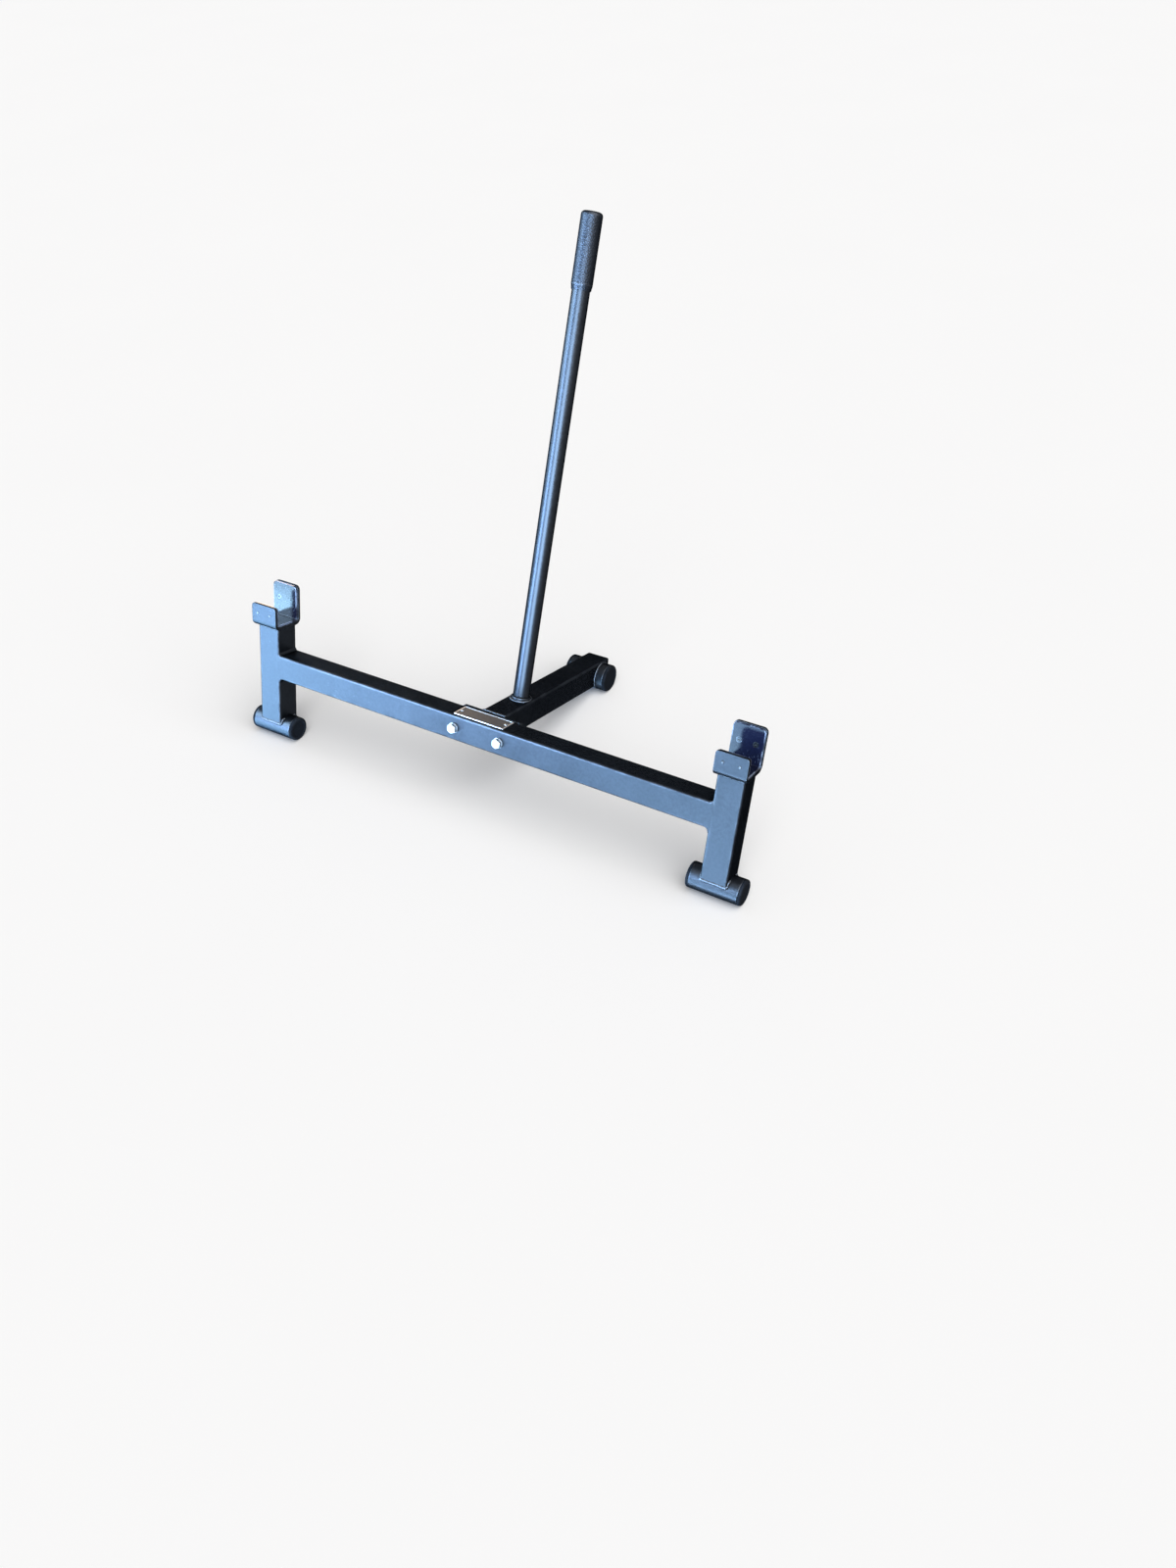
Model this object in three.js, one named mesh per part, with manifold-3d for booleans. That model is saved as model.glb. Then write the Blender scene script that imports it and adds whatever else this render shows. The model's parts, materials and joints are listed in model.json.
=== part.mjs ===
// Deadlift jack, millimetres, +Z up, +X to the right along the front beam, +Y towards the rear foot.
// Every piece is laid out in the jack's own frame, in which the uprights are upright, the front
// faces of the frame lie at y = 0 and the feet touch z = 0. The whole jack is then leaned back
// until the rear foot touches the ground too.

import * as THREE from 'three';
import { mergeVertices } from 'three/addons/utils/BufferGeometryUtils.js';
import Module from 'manifold-3d';

const wasm = await Module();
wasm.setup();

// Gaps and cuts
const seatGap = 0.3; // between pieces that touch, are welded or are cut to fit
const holeClearance = 0.4; // round a shank in its hole
const cutOverrun = 5; // how far a cutting tool runs past what it cuts

// Square tube of the frame
const tubeSide = 50;
const tubeWall = 3;
const tubeCornerRadius = 3.5;

// Front frame
const uprightSpacing = 990; // centre to centre
const uprightTop = 238;
const uprightEndHeight = 35.6; // cut end of an upright, above the underside of its foot
const beamHeight = 159; // centre line of the front beam and of the rear beam

// Feet
const footDiameter = 48.3;
const footWall = 3.2;
const footTubeLength = 92;
const rearFootDiameter = 57;
const rearFootWall = 3.2;
const rearFootTubeLength = 84;
const rearFootSetback = 434; // axis of the rear foot, behind the front faces
const rearFootHeight = 152; // axis of the rear foot, above the underside of the front feet

// End caps of the feet
const capHead = 6; // thickness of the part outside the tube
const capEdgeRadius = 3.5;
const capPlugLength = 14;
const capWall = 2.5;
const capDish = 1.2; // depth of the dished middle of the face
const capRimWidth = 6;

// Cup brackets
const cupWidth = 60;
const cupPlate = 6;
const cupBendRadius = 12; // outside of the bend
const lipOverhang = 12; // front face of the lip, ahead of the front face of the upright
const backOverhang = 8; // rear face of the tall back, behind the upright
const lipHeight = 46; // from the underside of the bracket
const backHeight = 78; // from the underside of the bracket
const lipCornerRadius = 6;
const backCornerRadius = 9;

// Cup liners
const linerThickness = 4;
const linerMargin = 1; // plate left bare round the liner

// Liner screws, countersunk, with a hexagon socket
const screwDiameter = 5;
const screwHeadDiameter = 10;
const screwHeadHeight = 2.6;
const screwHeadSink = 0.3; // head below the liner's face
const screwTipStand = 0.9; // tip proud of the plate
const screwTipChamfer = 0.7;
const screwSocketWidth = 3; // across flats
const screwSocketDepth = 1.6;
const screwPitch = 30;
const lipScrewDrop = 18; // below the top of the lip
const backScrewDrop = 31; // below the top of the back

// Bolted joint between the front beam and the rear arm
const boltDiameter = 10;
const boltPitch = 98;
const hexWidth = 17; // across flats, head and nut
const boltHeadHeight = 6.4;
const nutHeight = 8;
const hexFaceShare = 0.95; // round face of a head or nut, of its width across flats
const hexChamferAngle = THREE.MathUtils.degToRad(30);
const boltTipStand = 4; // thread showing past the nut
const boltTipChamfer = 1;
const washerDiameter = 20;
const washerThickness = 2;
const flangeWidth = 130;
const flangeThickness = 8;
const flangeCornerRadius = 5;

// Name plate and its rivets
const namePlateWidth = 108;
const namePlateDepth = 39;
const namePlateThickness = 1.5;
const namePlateCornerRadius = 2;
const namePlateRim = 2.4;
const namePlateRecess = 0.4;
const rivetPitch = 95;
const rivetHeadDiameter = 6.4;
const rivetHeadHeight = 1.5;
const rivetShank = 3.2;
const rivetShankLength = 6;

// Handle, its spigot and its grip
const handleSetback = 151; // foot of the handle, behind the front faces
const handleLean = THREE.MathUtils.degToRad(7.2); // rearwards, from square to the rear beam
const handleReach = 850; // along the handle, from the rear beam to the top of the grip
const handleDiameter = 31.8;
const handleWall = 2;
const spigotLength = 80;
const spigotClearance = 0.5;
const spigotTipChamfer = 3;
const collarDiameter = 39;
const collarRise = 5; // top of the collar, along the handle
const collarChamfer = 2;
const gripLength = 122;
const gripDiameter = 37.5;
const gripEndThickness = 4;
const gripTopRadius = 6;
const gripMouthTaper = 1.6; // taken off the radius at the open end
const gripMouthLength = 9;

// Facets
const roundFacets = 36;
const smallFacets = 20;
const cornerFacets = 3; // in a quarter circle
const domeFacets = 3;

// Sizes that follow
const halfTube = tubeSide / 2;
const footRadius = footDiameter / 2;
const rearFootRadius = rearFootDiameter / 2;
const uprightX = uprightSpacing / 2;
const beamTop = beamHeight + halfTube;
const bracketBottom = uprightTop + seatGap;
const lipTop = bracketBottom + lipHeight;
const backTop = bracketBottom + backHeight;
const lipFrontY = -lipOverhang;
const backRearY = tubeSide + backOverhang;
const flangeFrontY = tubeSide + seatGap;
const flangeRearY = flangeFrontY + flangeThickness;
const rearBeamFrontY = flangeRearY + seatGap;
const rearBeamRearY = rearFootSetback + rearFootRadius - tubeWall / 2;
const handleRadius = handleDiameter / 2;

// Powder coat, plastics, rubber, and bright and blackened metal
function paint(color, roughness, metalness) {
  return () => new THREE.MeshStandardMaterial({ color, roughness, metalness });
}
const powderCoat = paint(0x1b1c1f, 0.5, 0.3);
const capPlastic = paint(0x0e0e10, 0.55, 0);
const linerPlastic = paint(0x101220, 0.22, 0);
const brightZinc = paint(0xc9ccd0, 0.3, 1);
const blackenedSteel = paint(0x303236, 0.35, 0.9);
const brushedPlate = paint(0xb7b4b4, 0.38, 0.9);
const gripRubber = paint(0x121214, 0.75, 0);

// A closed geometry becomes a solid that can be cut and joined
function solidOf(geometry) {
  const bare = geometry.clone();
  bare.deleteAttribute('normal');
  bare.deleteAttribute('uv');
  const merged = mergeVertices(bare);
  const mesh = new wasm.Mesh({
    numProp: 3,
    vertProperties: new Float32Array(merged.attributes.position.array),
    triVerts: new Uint32Array(merged.index.array),
  });
  return new wasm.Manifold(mesh);
}

// A solid becomes a flat-shaded geometry again
function geometryOf(solid) {
  const { vertProperties, triVerts } = solid.getMesh();
  const geometry = new THREE.BufferGeometry();
  geometry.setAttribute('position', new THREE.BufferAttribute(new Float32Array(vertProperties), 3));
  geometry.setIndex(new THREE.BufferAttribute(new Uint32Array(triVerts), 1));
  const flat = geometry.toNonIndexed();
  flat.computeVertexNormals();
  return flat;
}

function cut(geometry, ...tools) {
  let solid = solidOf(geometry);
  for (const tool of tools) {
    solid = solid.subtract(solidOf(tool));
  }
  return geometryOf(solid);
}

function join(geometry, ...others) {
  let solid = solidOf(geometry);
  for (const other of others) {
    solid = solid.add(solidOf(other));
  }
  return geometryOf(solid);
}

function piece(name, geometry, material) {
  const mesh = new THREE.Mesh(geometry, material());
  mesh.name = name;
  return mesh;
}

// A rectangle with rounded corners, centred on the origin
function roundedRectangle(width, height, radius, outline = new THREE.Shape()) {
  const x = width / 2 - radius;
  const y = height / 2 - radius;
  outline.absarc(x, y, radius, 0, Math.PI / 2);
  outline.absarc(-x, y, radius, Math.PI / 2, Math.PI);
  outline.absarc(-x, -y, radius, Math.PI, 3 * Math.PI / 2);
  outline.absarc(x, -y, radius, 3 * Math.PI / 2, 2 * Math.PI);
  return outline;
}

// An outline carried up +Z from zero
function extrude(outline, length) {
  return new THREE.ExtrudeGeometry(outline, {
    depth: length,
    bevelEnabled: false,
    curveSegments: cornerFacets,
  });
}

// Square tube along +Z from zero
function squareTube(length) {
  const outline = roundedRectangle(tubeSide, tubeSide, tubeCornerRadius);
  const boreSide = tubeSide - 2 * tubeWall;
  outline.holes.push(roundedRectangle(boreSide, boreSide, tubeCornerRadius - tubeWall, new THREE.Path()));
  return extrude(outline, length);
}

// Solid of revolution round +Z; the profile lists [radius, height] from the bottom up the outside
function turned(profile, facets) {
  const points = profile.map(([radius, height]) => new THREE.Vector2(radius, height));
  return new THREE.LatheGeometry(points, facets).rotateX(Math.PI / 2);
}

function disc(radius, bottom, top, facets) {
  return turned([[0, bottom], [radius, bottom], [radius, top], [0, top]], facets);
}

// Round tube along +Z, centred on the origin
function roundTube(radius, wall, length, facets) {
  const bore = radius - wall;
  const end = length / 2;
  return turned([[bore, -end], [radius, -end], [radius, end], [bore, end], [bore, -end]], facets);
}

// A quarter circle as [radius, height] points, turning from facing out to facing up
function quarterRound(centreRadius, centreHeight, radius, facets) {
  const points = [];
  for (let step = 0; step <= facets; step += 1) {
    const angle = (step / facets) * Math.PI / 2;
    points.push([centreRadius + radius * Math.cos(angle), centreHeight + radius * Math.sin(angle)]);
  }
  return points;
}

function hexagon(acrossFlats, bottom, top) {
  const corner = acrossFlats / Math.sqrt(3);
  return new THREE.CylinderGeometry(corner, corner, top - bottom, 6)
    .rotateX(Math.PI / 2)
    .translate(0, 0, (bottom + top) / 2);
}

// Front beam between the uprights, drilled for the bolts and the rivets
function frontBeamGeometry() {
  const length = uprightSpacing - tubeSide - 2 * seatGap;
  const beam = squareTube(length)
    .translate(0, 0, -length / 2)
    .rotateY(Math.PI / 2)
    .translate(0, halfTube, beamHeight);
  const tools = [];
  for (const side of [-1, 1]) {
    const boltHole = disc(boltDiameter / 2 + holeClearance, -cutOverrun, tubeSide + cutOverrun, smallFacets);
    tools.push(boltHole.rotateX(-Math.PI / 2).translate(side * boltPitch / 2, 0, beamHeight));
    const rivetHole = disc(rivetShank / 2 + seatGap, -tubeWall - cutOverrun, cutOverrun, smallFacets);
    tools.push(rivetHole.translate(side * rivetPitch / 2, halfTube, beamTop));
  }
  return cut(beam, ...tools);
}

// Upright, cut at its foot to straddle the round tube
function uprightGeometry() {
  const upright = squareTube(uprightTop - uprightEndHeight).translate(0, halfTube, uprightEndHeight);
  const saddle = disc(footRadius + seatGap, -tubeSide, tubeSide, roundFacets)
    .rotateY(Math.PI / 2)
    .translate(0, halfTube, footRadius);
  return cut(upright, saddle);
}

// Moulded end cap with a dished face and a hollow plug; the face looks along +Z
function capGeometry(radius, wall) {
  const plug = radius - wall - seatGap;
  const dishRadius = radius - capRimWidth;
  return turned([
    [0, capHead - capDish - capWall],
    [plug - capWall, capHead - capDish - capWall],
    [plug - capWall, -capPlugLength],
    [plug, -capPlugLength],
    [plug, seatGap],
    [radius, seatGap],
    ...quarterRound(radius - capEdgeRadius, capHead - capEdgeRadius, capEdgeRadius, cornerFacets),
    [dishRadius, capHead],
    [dishRadius - capDish, capHead - capDish],
    [0, capHead - capDish],
  ], roundFacets);
}

// One foot: a round tube along X with a cap in each end, centred on its axis
function foot(prefix, radius, wall, length) {
  const group = new THREE.Group();
  const tube = piece(`${prefix}_tube`, roundTube(radius, wall, length, roundFacets), powderCoat);
  tube.rotation.y = Math.PI / 2;
  group.add(tube);
  for (const [side, word] of [[-1, 'left'], [1, 'right']]) {
    const cap = piece(`${prefix}_${word}_cap`, capGeometry(radius, wall), capPlastic);
    cap.rotation.y = side * Math.PI / 2;
    cap.position.x = side * length / 2;
    group.add(cap);
  }
  return group;
}

// A U of even thickness in the Y-Z plane, carried along X. Its outside runs from front to rear and
// stands on bottom; the front arm ends at frontTop and the rear arm at rearTop.
function channel({ front, rear, bottom, frontTop, rearTop, thickness, bend, width }) {
  const inner = bend - thickness;
  const outline = new THREE.Shape();
  outline.moveTo(front, frontTop);
  outline.absarc(front + bend, bottom + bend, bend, Math.PI, 3 * Math.PI / 2);
  outline.absarc(rear - bend, bottom + bend, bend, 3 * Math.PI / 2, 2 * Math.PI);
  outline.lineTo(rear, rearTop);
  outline.lineTo(rear - thickness, rearTop);
  outline.absarc(rear - bend, bottom + bend, inner, 2 * Math.PI, 3 * Math.PI / 2, true);
  outline.absarc(front + bend, bottom + bend, inner, 3 * Math.PI / 2, Math.PI, true);
  outline.lineTo(front + thickness, frontTop);
  outline.closePath();
  return extrude(outline, width)
    .translate(0, 0, -width / 2)
    .rotateX(Math.PI / 2)
    .rotateZ(Math.PI / 2);
}

// Waste outside the two rounded upper corners of a plate that faces along Y
function cornerWaste(width, top, radius, front, rear) {
  const tools = [];
  const depth = rear - front + 2 * cutOverrun;
  for (const side of [-1, 1]) {
    const centreX = side * (width / 2 - radius);
    const centreZ = top - radius;
    const block = new THREE.BoxGeometry(radius + cutOverrun, depth, radius + cutOverrun).translate(
      centreX + side * (radius + cutOverrun) / 2,
      (front + rear) / 2,
      centreZ + (radius + cutOverrun) / 2,
    );
    const round = new THREE.CylinderGeometry(radius, radius, depth + cutOverrun, smallFacets)
      .translate(centreX, (front + rear) / 2, centreZ);
    tools.push(cut(block, round));
  }
  return tools;
}

// Where the liner screws of one cup sit: x, height, and which way their heads face
function screwSeats() {
  const seats = [];
  for (const side of [-1, 1]) {
    const x = side * screwPitch / 2;
    const word = side < 0 ? 'left' : 'right';
    const lipFace = lipFrontY + cupPlate + seatGap + linerThickness;
    const backFace = backRearY - cupPlate - seatGap - linerThickness;
    seats.push({ name: `lip_screw_${word}`, x, y: lipFace, z: lipTop - lipScrewDrop, facing: 1 });
    seats.push({ name: `back_screw_${word}`, x, y: backFace, z: backTop - backScrewDrop, facing: -1 });
  }
  return seats;
}

// Countersunk screw, head face at zero and looking along +Z
function screwGeometry() {
  const radius = screwDiameter / 2;
  const headRadius = screwHeadDiameter / 2;
  const tip = screwHeadSink - linerThickness - seatGap - cupPlate - screwTipStand;
  const body = turned([
    [0, tip],
    [radius - screwTipChamfer, tip],
    [radius, tip + screwTipChamfer],
    [radius, -screwHeadHeight],
    [headRadius, 0],
    [0, 0],
  ], smallFacets);
  return cut(body, hexagon(screwSocketWidth, -screwSocketDepth, cutOverrun));
}

// What a screw needs cut away: a clear hole, and a countersink open at the face it is driven from
function screwCutter() {
  const radius = screwDiameter / 2 + seatGap;
  const headRadius = screwHeadDiameter / 2 + seatGap;
  return turned([
    [0, -linerThickness - cupPlate - cutOverrun],
    [radius, -linerThickness - cupPlate - cutOverrun],
    [radius, -screwHeadSink - screwHeadHeight],
    [headRadius, -screwHeadSink],
    [headRadius, cutOverrun],
    [0, cutOverrun],
  ], smallFacets);
}

function faceAlongY(geometry, facing) {
  return geometry.rotateX(-facing * Math.PI / 2);
}

function screwCutters() {
  return screwSeats().map(({ x, y, z, facing }) => faceAlongY(screwCutter(), facing).translate(x, y, z));
}

// Bent plate that carries the bar
function bracketGeometry() {
  const plate = channel({
    front: lipFrontY,
    rear: backRearY,
    bottom: bracketBottom,
    frontTop: lipTop,
    rearTop: backTop,
    thickness: cupPlate,
    bend: cupBendRadius,
    width: cupWidth,
  });
  return cut(
    plate,
    ...cornerWaste(cupWidth, lipTop, lipCornerRadius, lipFrontY, lipFrontY + cupPlate),
    ...cornerWaste(cupWidth, backTop, backCornerRadius, backRearY - cupPlate, backRearY),
    ...screwCutters(),
  );
}

// Plastic liner that follows the inside of the bracket
function linerGeometry() {
  const inset = cupPlate + seatGap;
  const front = lipFrontY + inset;
  const rear = backRearY - inset;
  const width = cupWidth - 2 * linerMargin;
  const liner = channel({
    front,
    rear,
    bottom: bracketBottom + inset,
    frontTop: lipTop - linerMargin,
    rearTop: backTop - linerMargin,
    thickness: linerThickness,
    bend: cupBendRadius - inset,
    width,
  });
  return cut(
    liner,
    ...cornerWaste(width, lipTop - linerMargin, lipCornerRadius - linerMargin, front, front + linerThickness),
    ...cornerWaste(width, backTop - linerMargin, backCornerRadius - linerMargin, rear - linerThickness, rear),
    ...screwCutters(),
  );
}

// Bracket, liner and screws of one cup, centred on its upright
function cup(prefix) {
  const group = new THREE.Group();
  group.add(piece(`${prefix}_cup_bracket`, bracketGeometry(), powderCoat));
  group.add(piece(`${prefix}_cup_liner`, linerGeometry(), linerPlastic));
  for (const { name, x, y, z, facing } of screwSeats()) {
    const screw = piece(`${prefix}_${name}`, faceAlongY(screwGeometry(), facing), blackenedSteel);
    screw.position.set(x, y - facing * screwHeadSink, z);
    group.add(screw);
  }
  return group;
}

// Upright, foot and cup at one end of the front frame
function frontLeg(prefix, x) {
  const group = new THREE.Group();
  group.add(piece(`${prefix}_upright`, uprightGeometry(), powderCoat));
  const roundFoot = foot(`${prefix}_foot`, footRadius, footWall, footTubeLength);
  roundFoot.position.set(0, halfTube, footRadius);
  group.add(roundFoot);
  group.add(cup(prefix));
  group.position.x = x;
  return group;
}

// Flange plate of the rear arm, flat against the back of the front beam
function flangeGeometry() {
  const plate = extrude(roundedRectangle(flangeWidth, tubeSide, flangeCornerRadius), flangeThickness)
    .rotateX(Math.PI / 2)
    .translate(0, flangeRearY, beamHeight);
  const holes = [-1, 1].map((side) => disc(
    boltDiameter / 2 + holeClearance,
    flangeFrontY - cutOverrun,
    flangeRearY + cutOverrun,
    smallFacets,
  ).rotateX(-Math.PI / 2).translate(side * boltPitch / 2, 0, beamHeight));
  return cut(plate, ...holes);
}

// Rear beam, its end cut away round the rear foot so that the top runs on over it
function rearBeamGeometry() {
  const length = rearBeamRearY - rearBeamFrontY;
  const beam = squareTube(length)
    .rotateX(-Math.PI / 2)
    .translate(0, rearBeamFrontY, beamHeight);
  const reach = rearBeamRearY - rearFootSetback + cutOverrun;
  const saddle = disc(rearFootRadius + seatGap, -tubeSide, tubeSide, roundFacets)
    .rotateY(Math.PI / 2)
    .translate(0, rearFootSetback, rearFootHeight);
  const below = new THREE.BoxGeometry(2 * tubeSide, reach, tubeSide)
    .translate(0, rearFootSetback + reach / 2, rearFootHeight - halfTube);
  return cut(beam, saddle, below);
}

// Hexagon whose corners are bevelled at its upper end
function bevelledHexagon(bottom, top) {
  const face = hexFaceShare * hexWidth / 2;
  const spread = (top - bottom) / Math.tan(hexChamferAngle);
  const cone = turned([[0, bottom], [face + spread, bottom], [face, top], [0, top]], roundFacets);
  return geometryOf(solidOf(hexagon(hexWidth, bottom, top)).intersect(solidOf(cone)));
}

// Bolt along +Z, its head below zero and its shank above
function boltGeometry() {
  const radius = boltDiameter / 2;
  const grip = washerThickness + seatGap + flangeRearY + seatGap + washerThickness;
  const length = grip + 2 * seatGap + nutHeight + boltTipStand;
  const head = bevelledHexagon(0, boltHeadHeight).rotateX(Math.PI);
  const shank = turned([
    [0, -boltHeadHeight / 2],
    [radius, -boltHeadHeight / 2],
    [radius, length - boltTipChamfer],
    [radius - boltTipChamfer, length],
    [0, length],
  ], smallFacets);
  return join(head, shank);
}

// Nut with its seat at zero, opening along +Z
function nutGeometry() {
  const bore = disc(boltDiameter / 2 + seatGap, -cutOverrun, nutHeight + cutOverrun, smallFacets);
  return cut(bevelledHexagon(0, nutHeight), bore);
}

function washerGeometry() {
  const bore = boltDiameter / 2 + holeClearance;
  return roundTube(washerDiameter / 2, washerDiameter / 2 - bore, washerThickness, smallFacets);
}

// Bolt, two washers and a nut, along +Y through the beam and the flange
function boltSet(prefix, x) {
  const group = new THREE.Group();
  const frontWasherY = -seatGap - washerThickness / 2;
  const rearWasherY = flangeRearY + seatGap + washerThickness / 2;
  const headY = frontWasherY - washerThickness / 2 - seatGap;
  const nutY = rearWasherY + washerThickness / 2 + seatGap;
  const rows = [
    ['bolt', boltGeometry(), headY],
    ['front_washer', washerGeometry(), frontWasherY],
    ['rear_washer', washerGeometry(), rearWasherY],
    ['nut', nutGeometry(), nutY],
  ];
  for (const [name, geometry, y] of rows) {
    const mesh = piece(`${prefix}_${name}`, geometry, brightZinc);
    mesh.rotation.x = -Math.PI / 2;
    mesh.position.y = y;
    group.add(mesh);
  }
  group.position.set(x, 0, beamHeight);
  return group;
}

// Name plate with a sunk panel inside a narrow rim, left bare
function namePlateGeometry() {
  const plate = extrude(
    roundedRectangle(namePlateWidth, namePlateDepth, namePlateCornerRadius),
    namePlateThickness,
  );
  const panel = extrude(
    roundedRectangle(
      namePlateWidth - 2 * namePlateRim,
      namePlateDepth - 2 * namePlateRim,
      namePlateCornerRadius,
    ),
    namePlateRecess + cutOverrun,
  ).translate(0, 0, namePlateThickness - namePlateRecess);
  const holes = [-1, 1].map((side) => disc(
    rivetShank / 2 + seatGap,
    -cutOverrun,
    namePlateThickness + cutOverrun,
    smallFacets,
  ).translate(side * rivetPitch / 2, 0, 0));
  return cut(plate, panel, ...holes);
}

// Domed rivet whose head seats on the sunk panel at zero
function rivetGeometry() {
  const headRadius = rivetHeadDiameter / 2;
  const dome = [];
  for (let step = 0; step < domeFacets; step += 1) {
    const angle = (step / domeFacets) * Math.PI / 2;
    dome.push([headRadius * Math.cos(angle), rivetHeadHeight * Math.sin(angle)]);
  }
  return turned([
    [0, -rivetShankLength],
    [rivetShank / 2, -rivetShankLength],
    [rivetShank / 2, 0],
    ...dome,
    [0, rivetHeadHeight],
  ], smallFacets);
}

function namePlate() {
  const group = new THREE.Group();
  group.add(piece('name_plate', namePlateGeometry(), brushedPlate));
  for (const [side, word] of [[-1, 'left'], [1, 'right']]) {
    const rivet = piece(`name_plate_${word}_rivet`, rivetGeometry(), brightZinc);
    rivet.position.set(side * rivetPitch / 2, 0, namePlateThickness - namePlateRecess + seatGap);
    group.add(rivet);
  }
  group.position.set(0, halfTube, beamTop + seatGap);
  return group;
}

// Spigot along +Z; its collar is trimmed flat on the rear beam, which lies at an angle to it
function spigotGeometry() {
  const collar = collarDiameter / 2;
  const pin = handleRadius - handleWall - spigotClearance;
  const root = -collarRise;
  const tip = collarRise + spigotLength;
  const body = turned([
    [0, root],
    [collar, root],
    [collar, collarRise - collarChamfer],
    [collar - collarChamfer, collarRise],
    [pin, collarRise],
    [pin, tip - spigotTipChamfer],
    [pin - spigotTipChamfer, tip],
    [0, tip],
  ], smallFacets);
  const beam = new THREE.BoxGeometry(tubeSide, tubeSide, tubeSide)
    .translate(0, 0, seatGap - halfTube)
    .rotateX(handleLean);
  return cut(body, beam);
}

// Rubber grip from zero up to its closed, rounded top
function gripGeometry() {
  const radius = gripDiameter / 2;
  const bore = handleRadius + seatGap;
  return turned([
    [0, gripLength - gripEndThickness],
    [bore, gripLength - gripEndThickness],
    [bore, 0],
    [radius - gripMouthTaper, 0],
    [radius, gripMouthLength],
    ...quarterRound(radius - gripTopRadius, gripLength - gripTopRadius, gripTopRadius, cornerFacets),
    [0, gripLength],
  ], roundFacets);
}

// Spigot, handle tube and grip along one axis, which leans back from square to the rear beam
function lever() {
  const group = new THREE.Group();
  group.add(piece('handle_spigot', spigotGeometry(), powderCoat));
  const handle = new THREE.Group();
  const start = collarRise + seatGap;
  const end = handleReach - gripEndThickness - seatGap;
  const tube = piece(
    'handle_tube',
    roundTube(handleRadius, handleWall, end - start, roundFacets),
    powderCoat,
  );
  tube.position.z = (start + end) / 2;
  handle.add(tube);
  const grip = piece('handle_grip', gripGeometry(), gripRubber);
  grip.position.z = handleReach - gripLength;
  handle.add(grip);
  group.add(handle);
  group.position.set(0, handleSetback, beamTop);
  group.rotation.x = -handleLean;
  return group;
}

// The whole jack in its own frame
function jack() {
  const group = new THREE.Group();
  group.add(piece('front_beam', frontBeamGeometry(), powderCoat));
  group.add(frontLeg('left', -uprightX));
  group.add(frontLeg('right', uprightX));
  group.add(namePlate());
  group.add(boltSet('left', -boltPitch / 2));
  group.add(boltSet('right', boltPitch / 2));
  group.add(piece('flange_plate', flangeGeometry(), powderCoat));
  group.add(piece('rear_beam', rearBeamGeometry(), powderCoat));
  const rearFoot = foot('rear_foot', rearFootRadius, rearFootWall, rearFootTubeLength);
  rearFoot.position.set(0, rearFootSetback, rearFootHeight);
  group.add(rearFoot);
  group.add(lever());
  return group;
}

// Angle by which the jack leans back when its front and rear feet stand on one level
function restingLean() {
  const back = rearFootSetback - halfTube;
  const up = rearFootHeight - footRadius;
  return Math.atan2(up, back) - Math.asin((rearFootRadius - footRadius) / Math.hypot(back, up));
}

const leaned = jack();
leaned.rotation.x = -restingLean();

// The origin is at the bottom centre of the object's own box
const deadliftJack = new THREE.Group();
deadliftJack.add(leaned);
deadliftJack.updateMatrixWorld(true);
const box = new THREE.Box3().setFromObject(leaned, true);
leaned.position.set(0, -(box.min.y + box.max.y) / 2, -box.min.z);
deadliftJack.updateMatrixWorld(true);

export default deadliftJack;
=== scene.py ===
import json
import bpy
import numpy as np
from mathutils import Matrix


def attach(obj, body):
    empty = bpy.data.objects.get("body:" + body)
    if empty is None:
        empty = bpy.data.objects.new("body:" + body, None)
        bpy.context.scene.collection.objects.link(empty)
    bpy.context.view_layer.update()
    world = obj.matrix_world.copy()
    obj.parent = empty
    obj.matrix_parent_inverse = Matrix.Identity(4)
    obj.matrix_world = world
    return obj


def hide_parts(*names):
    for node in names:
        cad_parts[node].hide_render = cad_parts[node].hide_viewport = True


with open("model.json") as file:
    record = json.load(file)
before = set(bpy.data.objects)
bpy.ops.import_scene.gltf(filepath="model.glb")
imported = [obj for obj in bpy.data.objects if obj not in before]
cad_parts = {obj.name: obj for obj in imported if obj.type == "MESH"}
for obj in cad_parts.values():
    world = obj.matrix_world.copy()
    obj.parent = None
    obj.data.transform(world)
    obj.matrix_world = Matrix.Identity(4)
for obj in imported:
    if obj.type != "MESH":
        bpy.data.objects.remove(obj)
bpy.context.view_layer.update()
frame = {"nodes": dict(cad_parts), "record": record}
print("frame loaded,", len(frame["nodes"]), "pieces")

seam = 0.3                           # room left between pieces that touch
sides = (("left", -1), ("right", 1))
# Lengths are in millimetres of the jack's own frame: x to the right, y to the rear, z up along the uprights.
# The jack leans back on its feet, so that frame is read off the two faces of the left cup.
jack = {
    "cupFloor": (-495, 23, 248.6),   # the marked point on the left cup's floor
    "handleFoot": (0, 151, 184),     # where the handle's axis meets the top of the rear beam
    "metres": 0.001,
}


def unit(vector):
    vector = np.asarray(vector, float)
    return vector / np.linalg.norm(vector, axis=-1, keepdims=True)


marks = {mount["name"]: mount for mount in frame["record"]["mounts"]}
acrossAxis = np.array([1.0, 0.0, 0.0])
upAxis = unit(marks["left_cup_floor"]["axis"])
rearAxis = -unit(marks["left_cup_back"]["axis"])
jackAxes = np.stack([acrossAxis, rearAxis, upAxis])
jackOrigin = np.array(marks["left_cup_floor"]["pos_m"]) - jack["metres"] * np.array(jack["cupFloor"]) @ jackAxes


def inJack(points):
    return jackOrigin + jack["metres"] * np.asarray(points, float) @ jackAxes


# Several values of a dictionary at once
def pick(values, names):
    return [values[name] for name in names.split()]


def fullTurn(steps):
    return np.linspace(0, 2 * np.pi, steps, endpoint=False)


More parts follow.
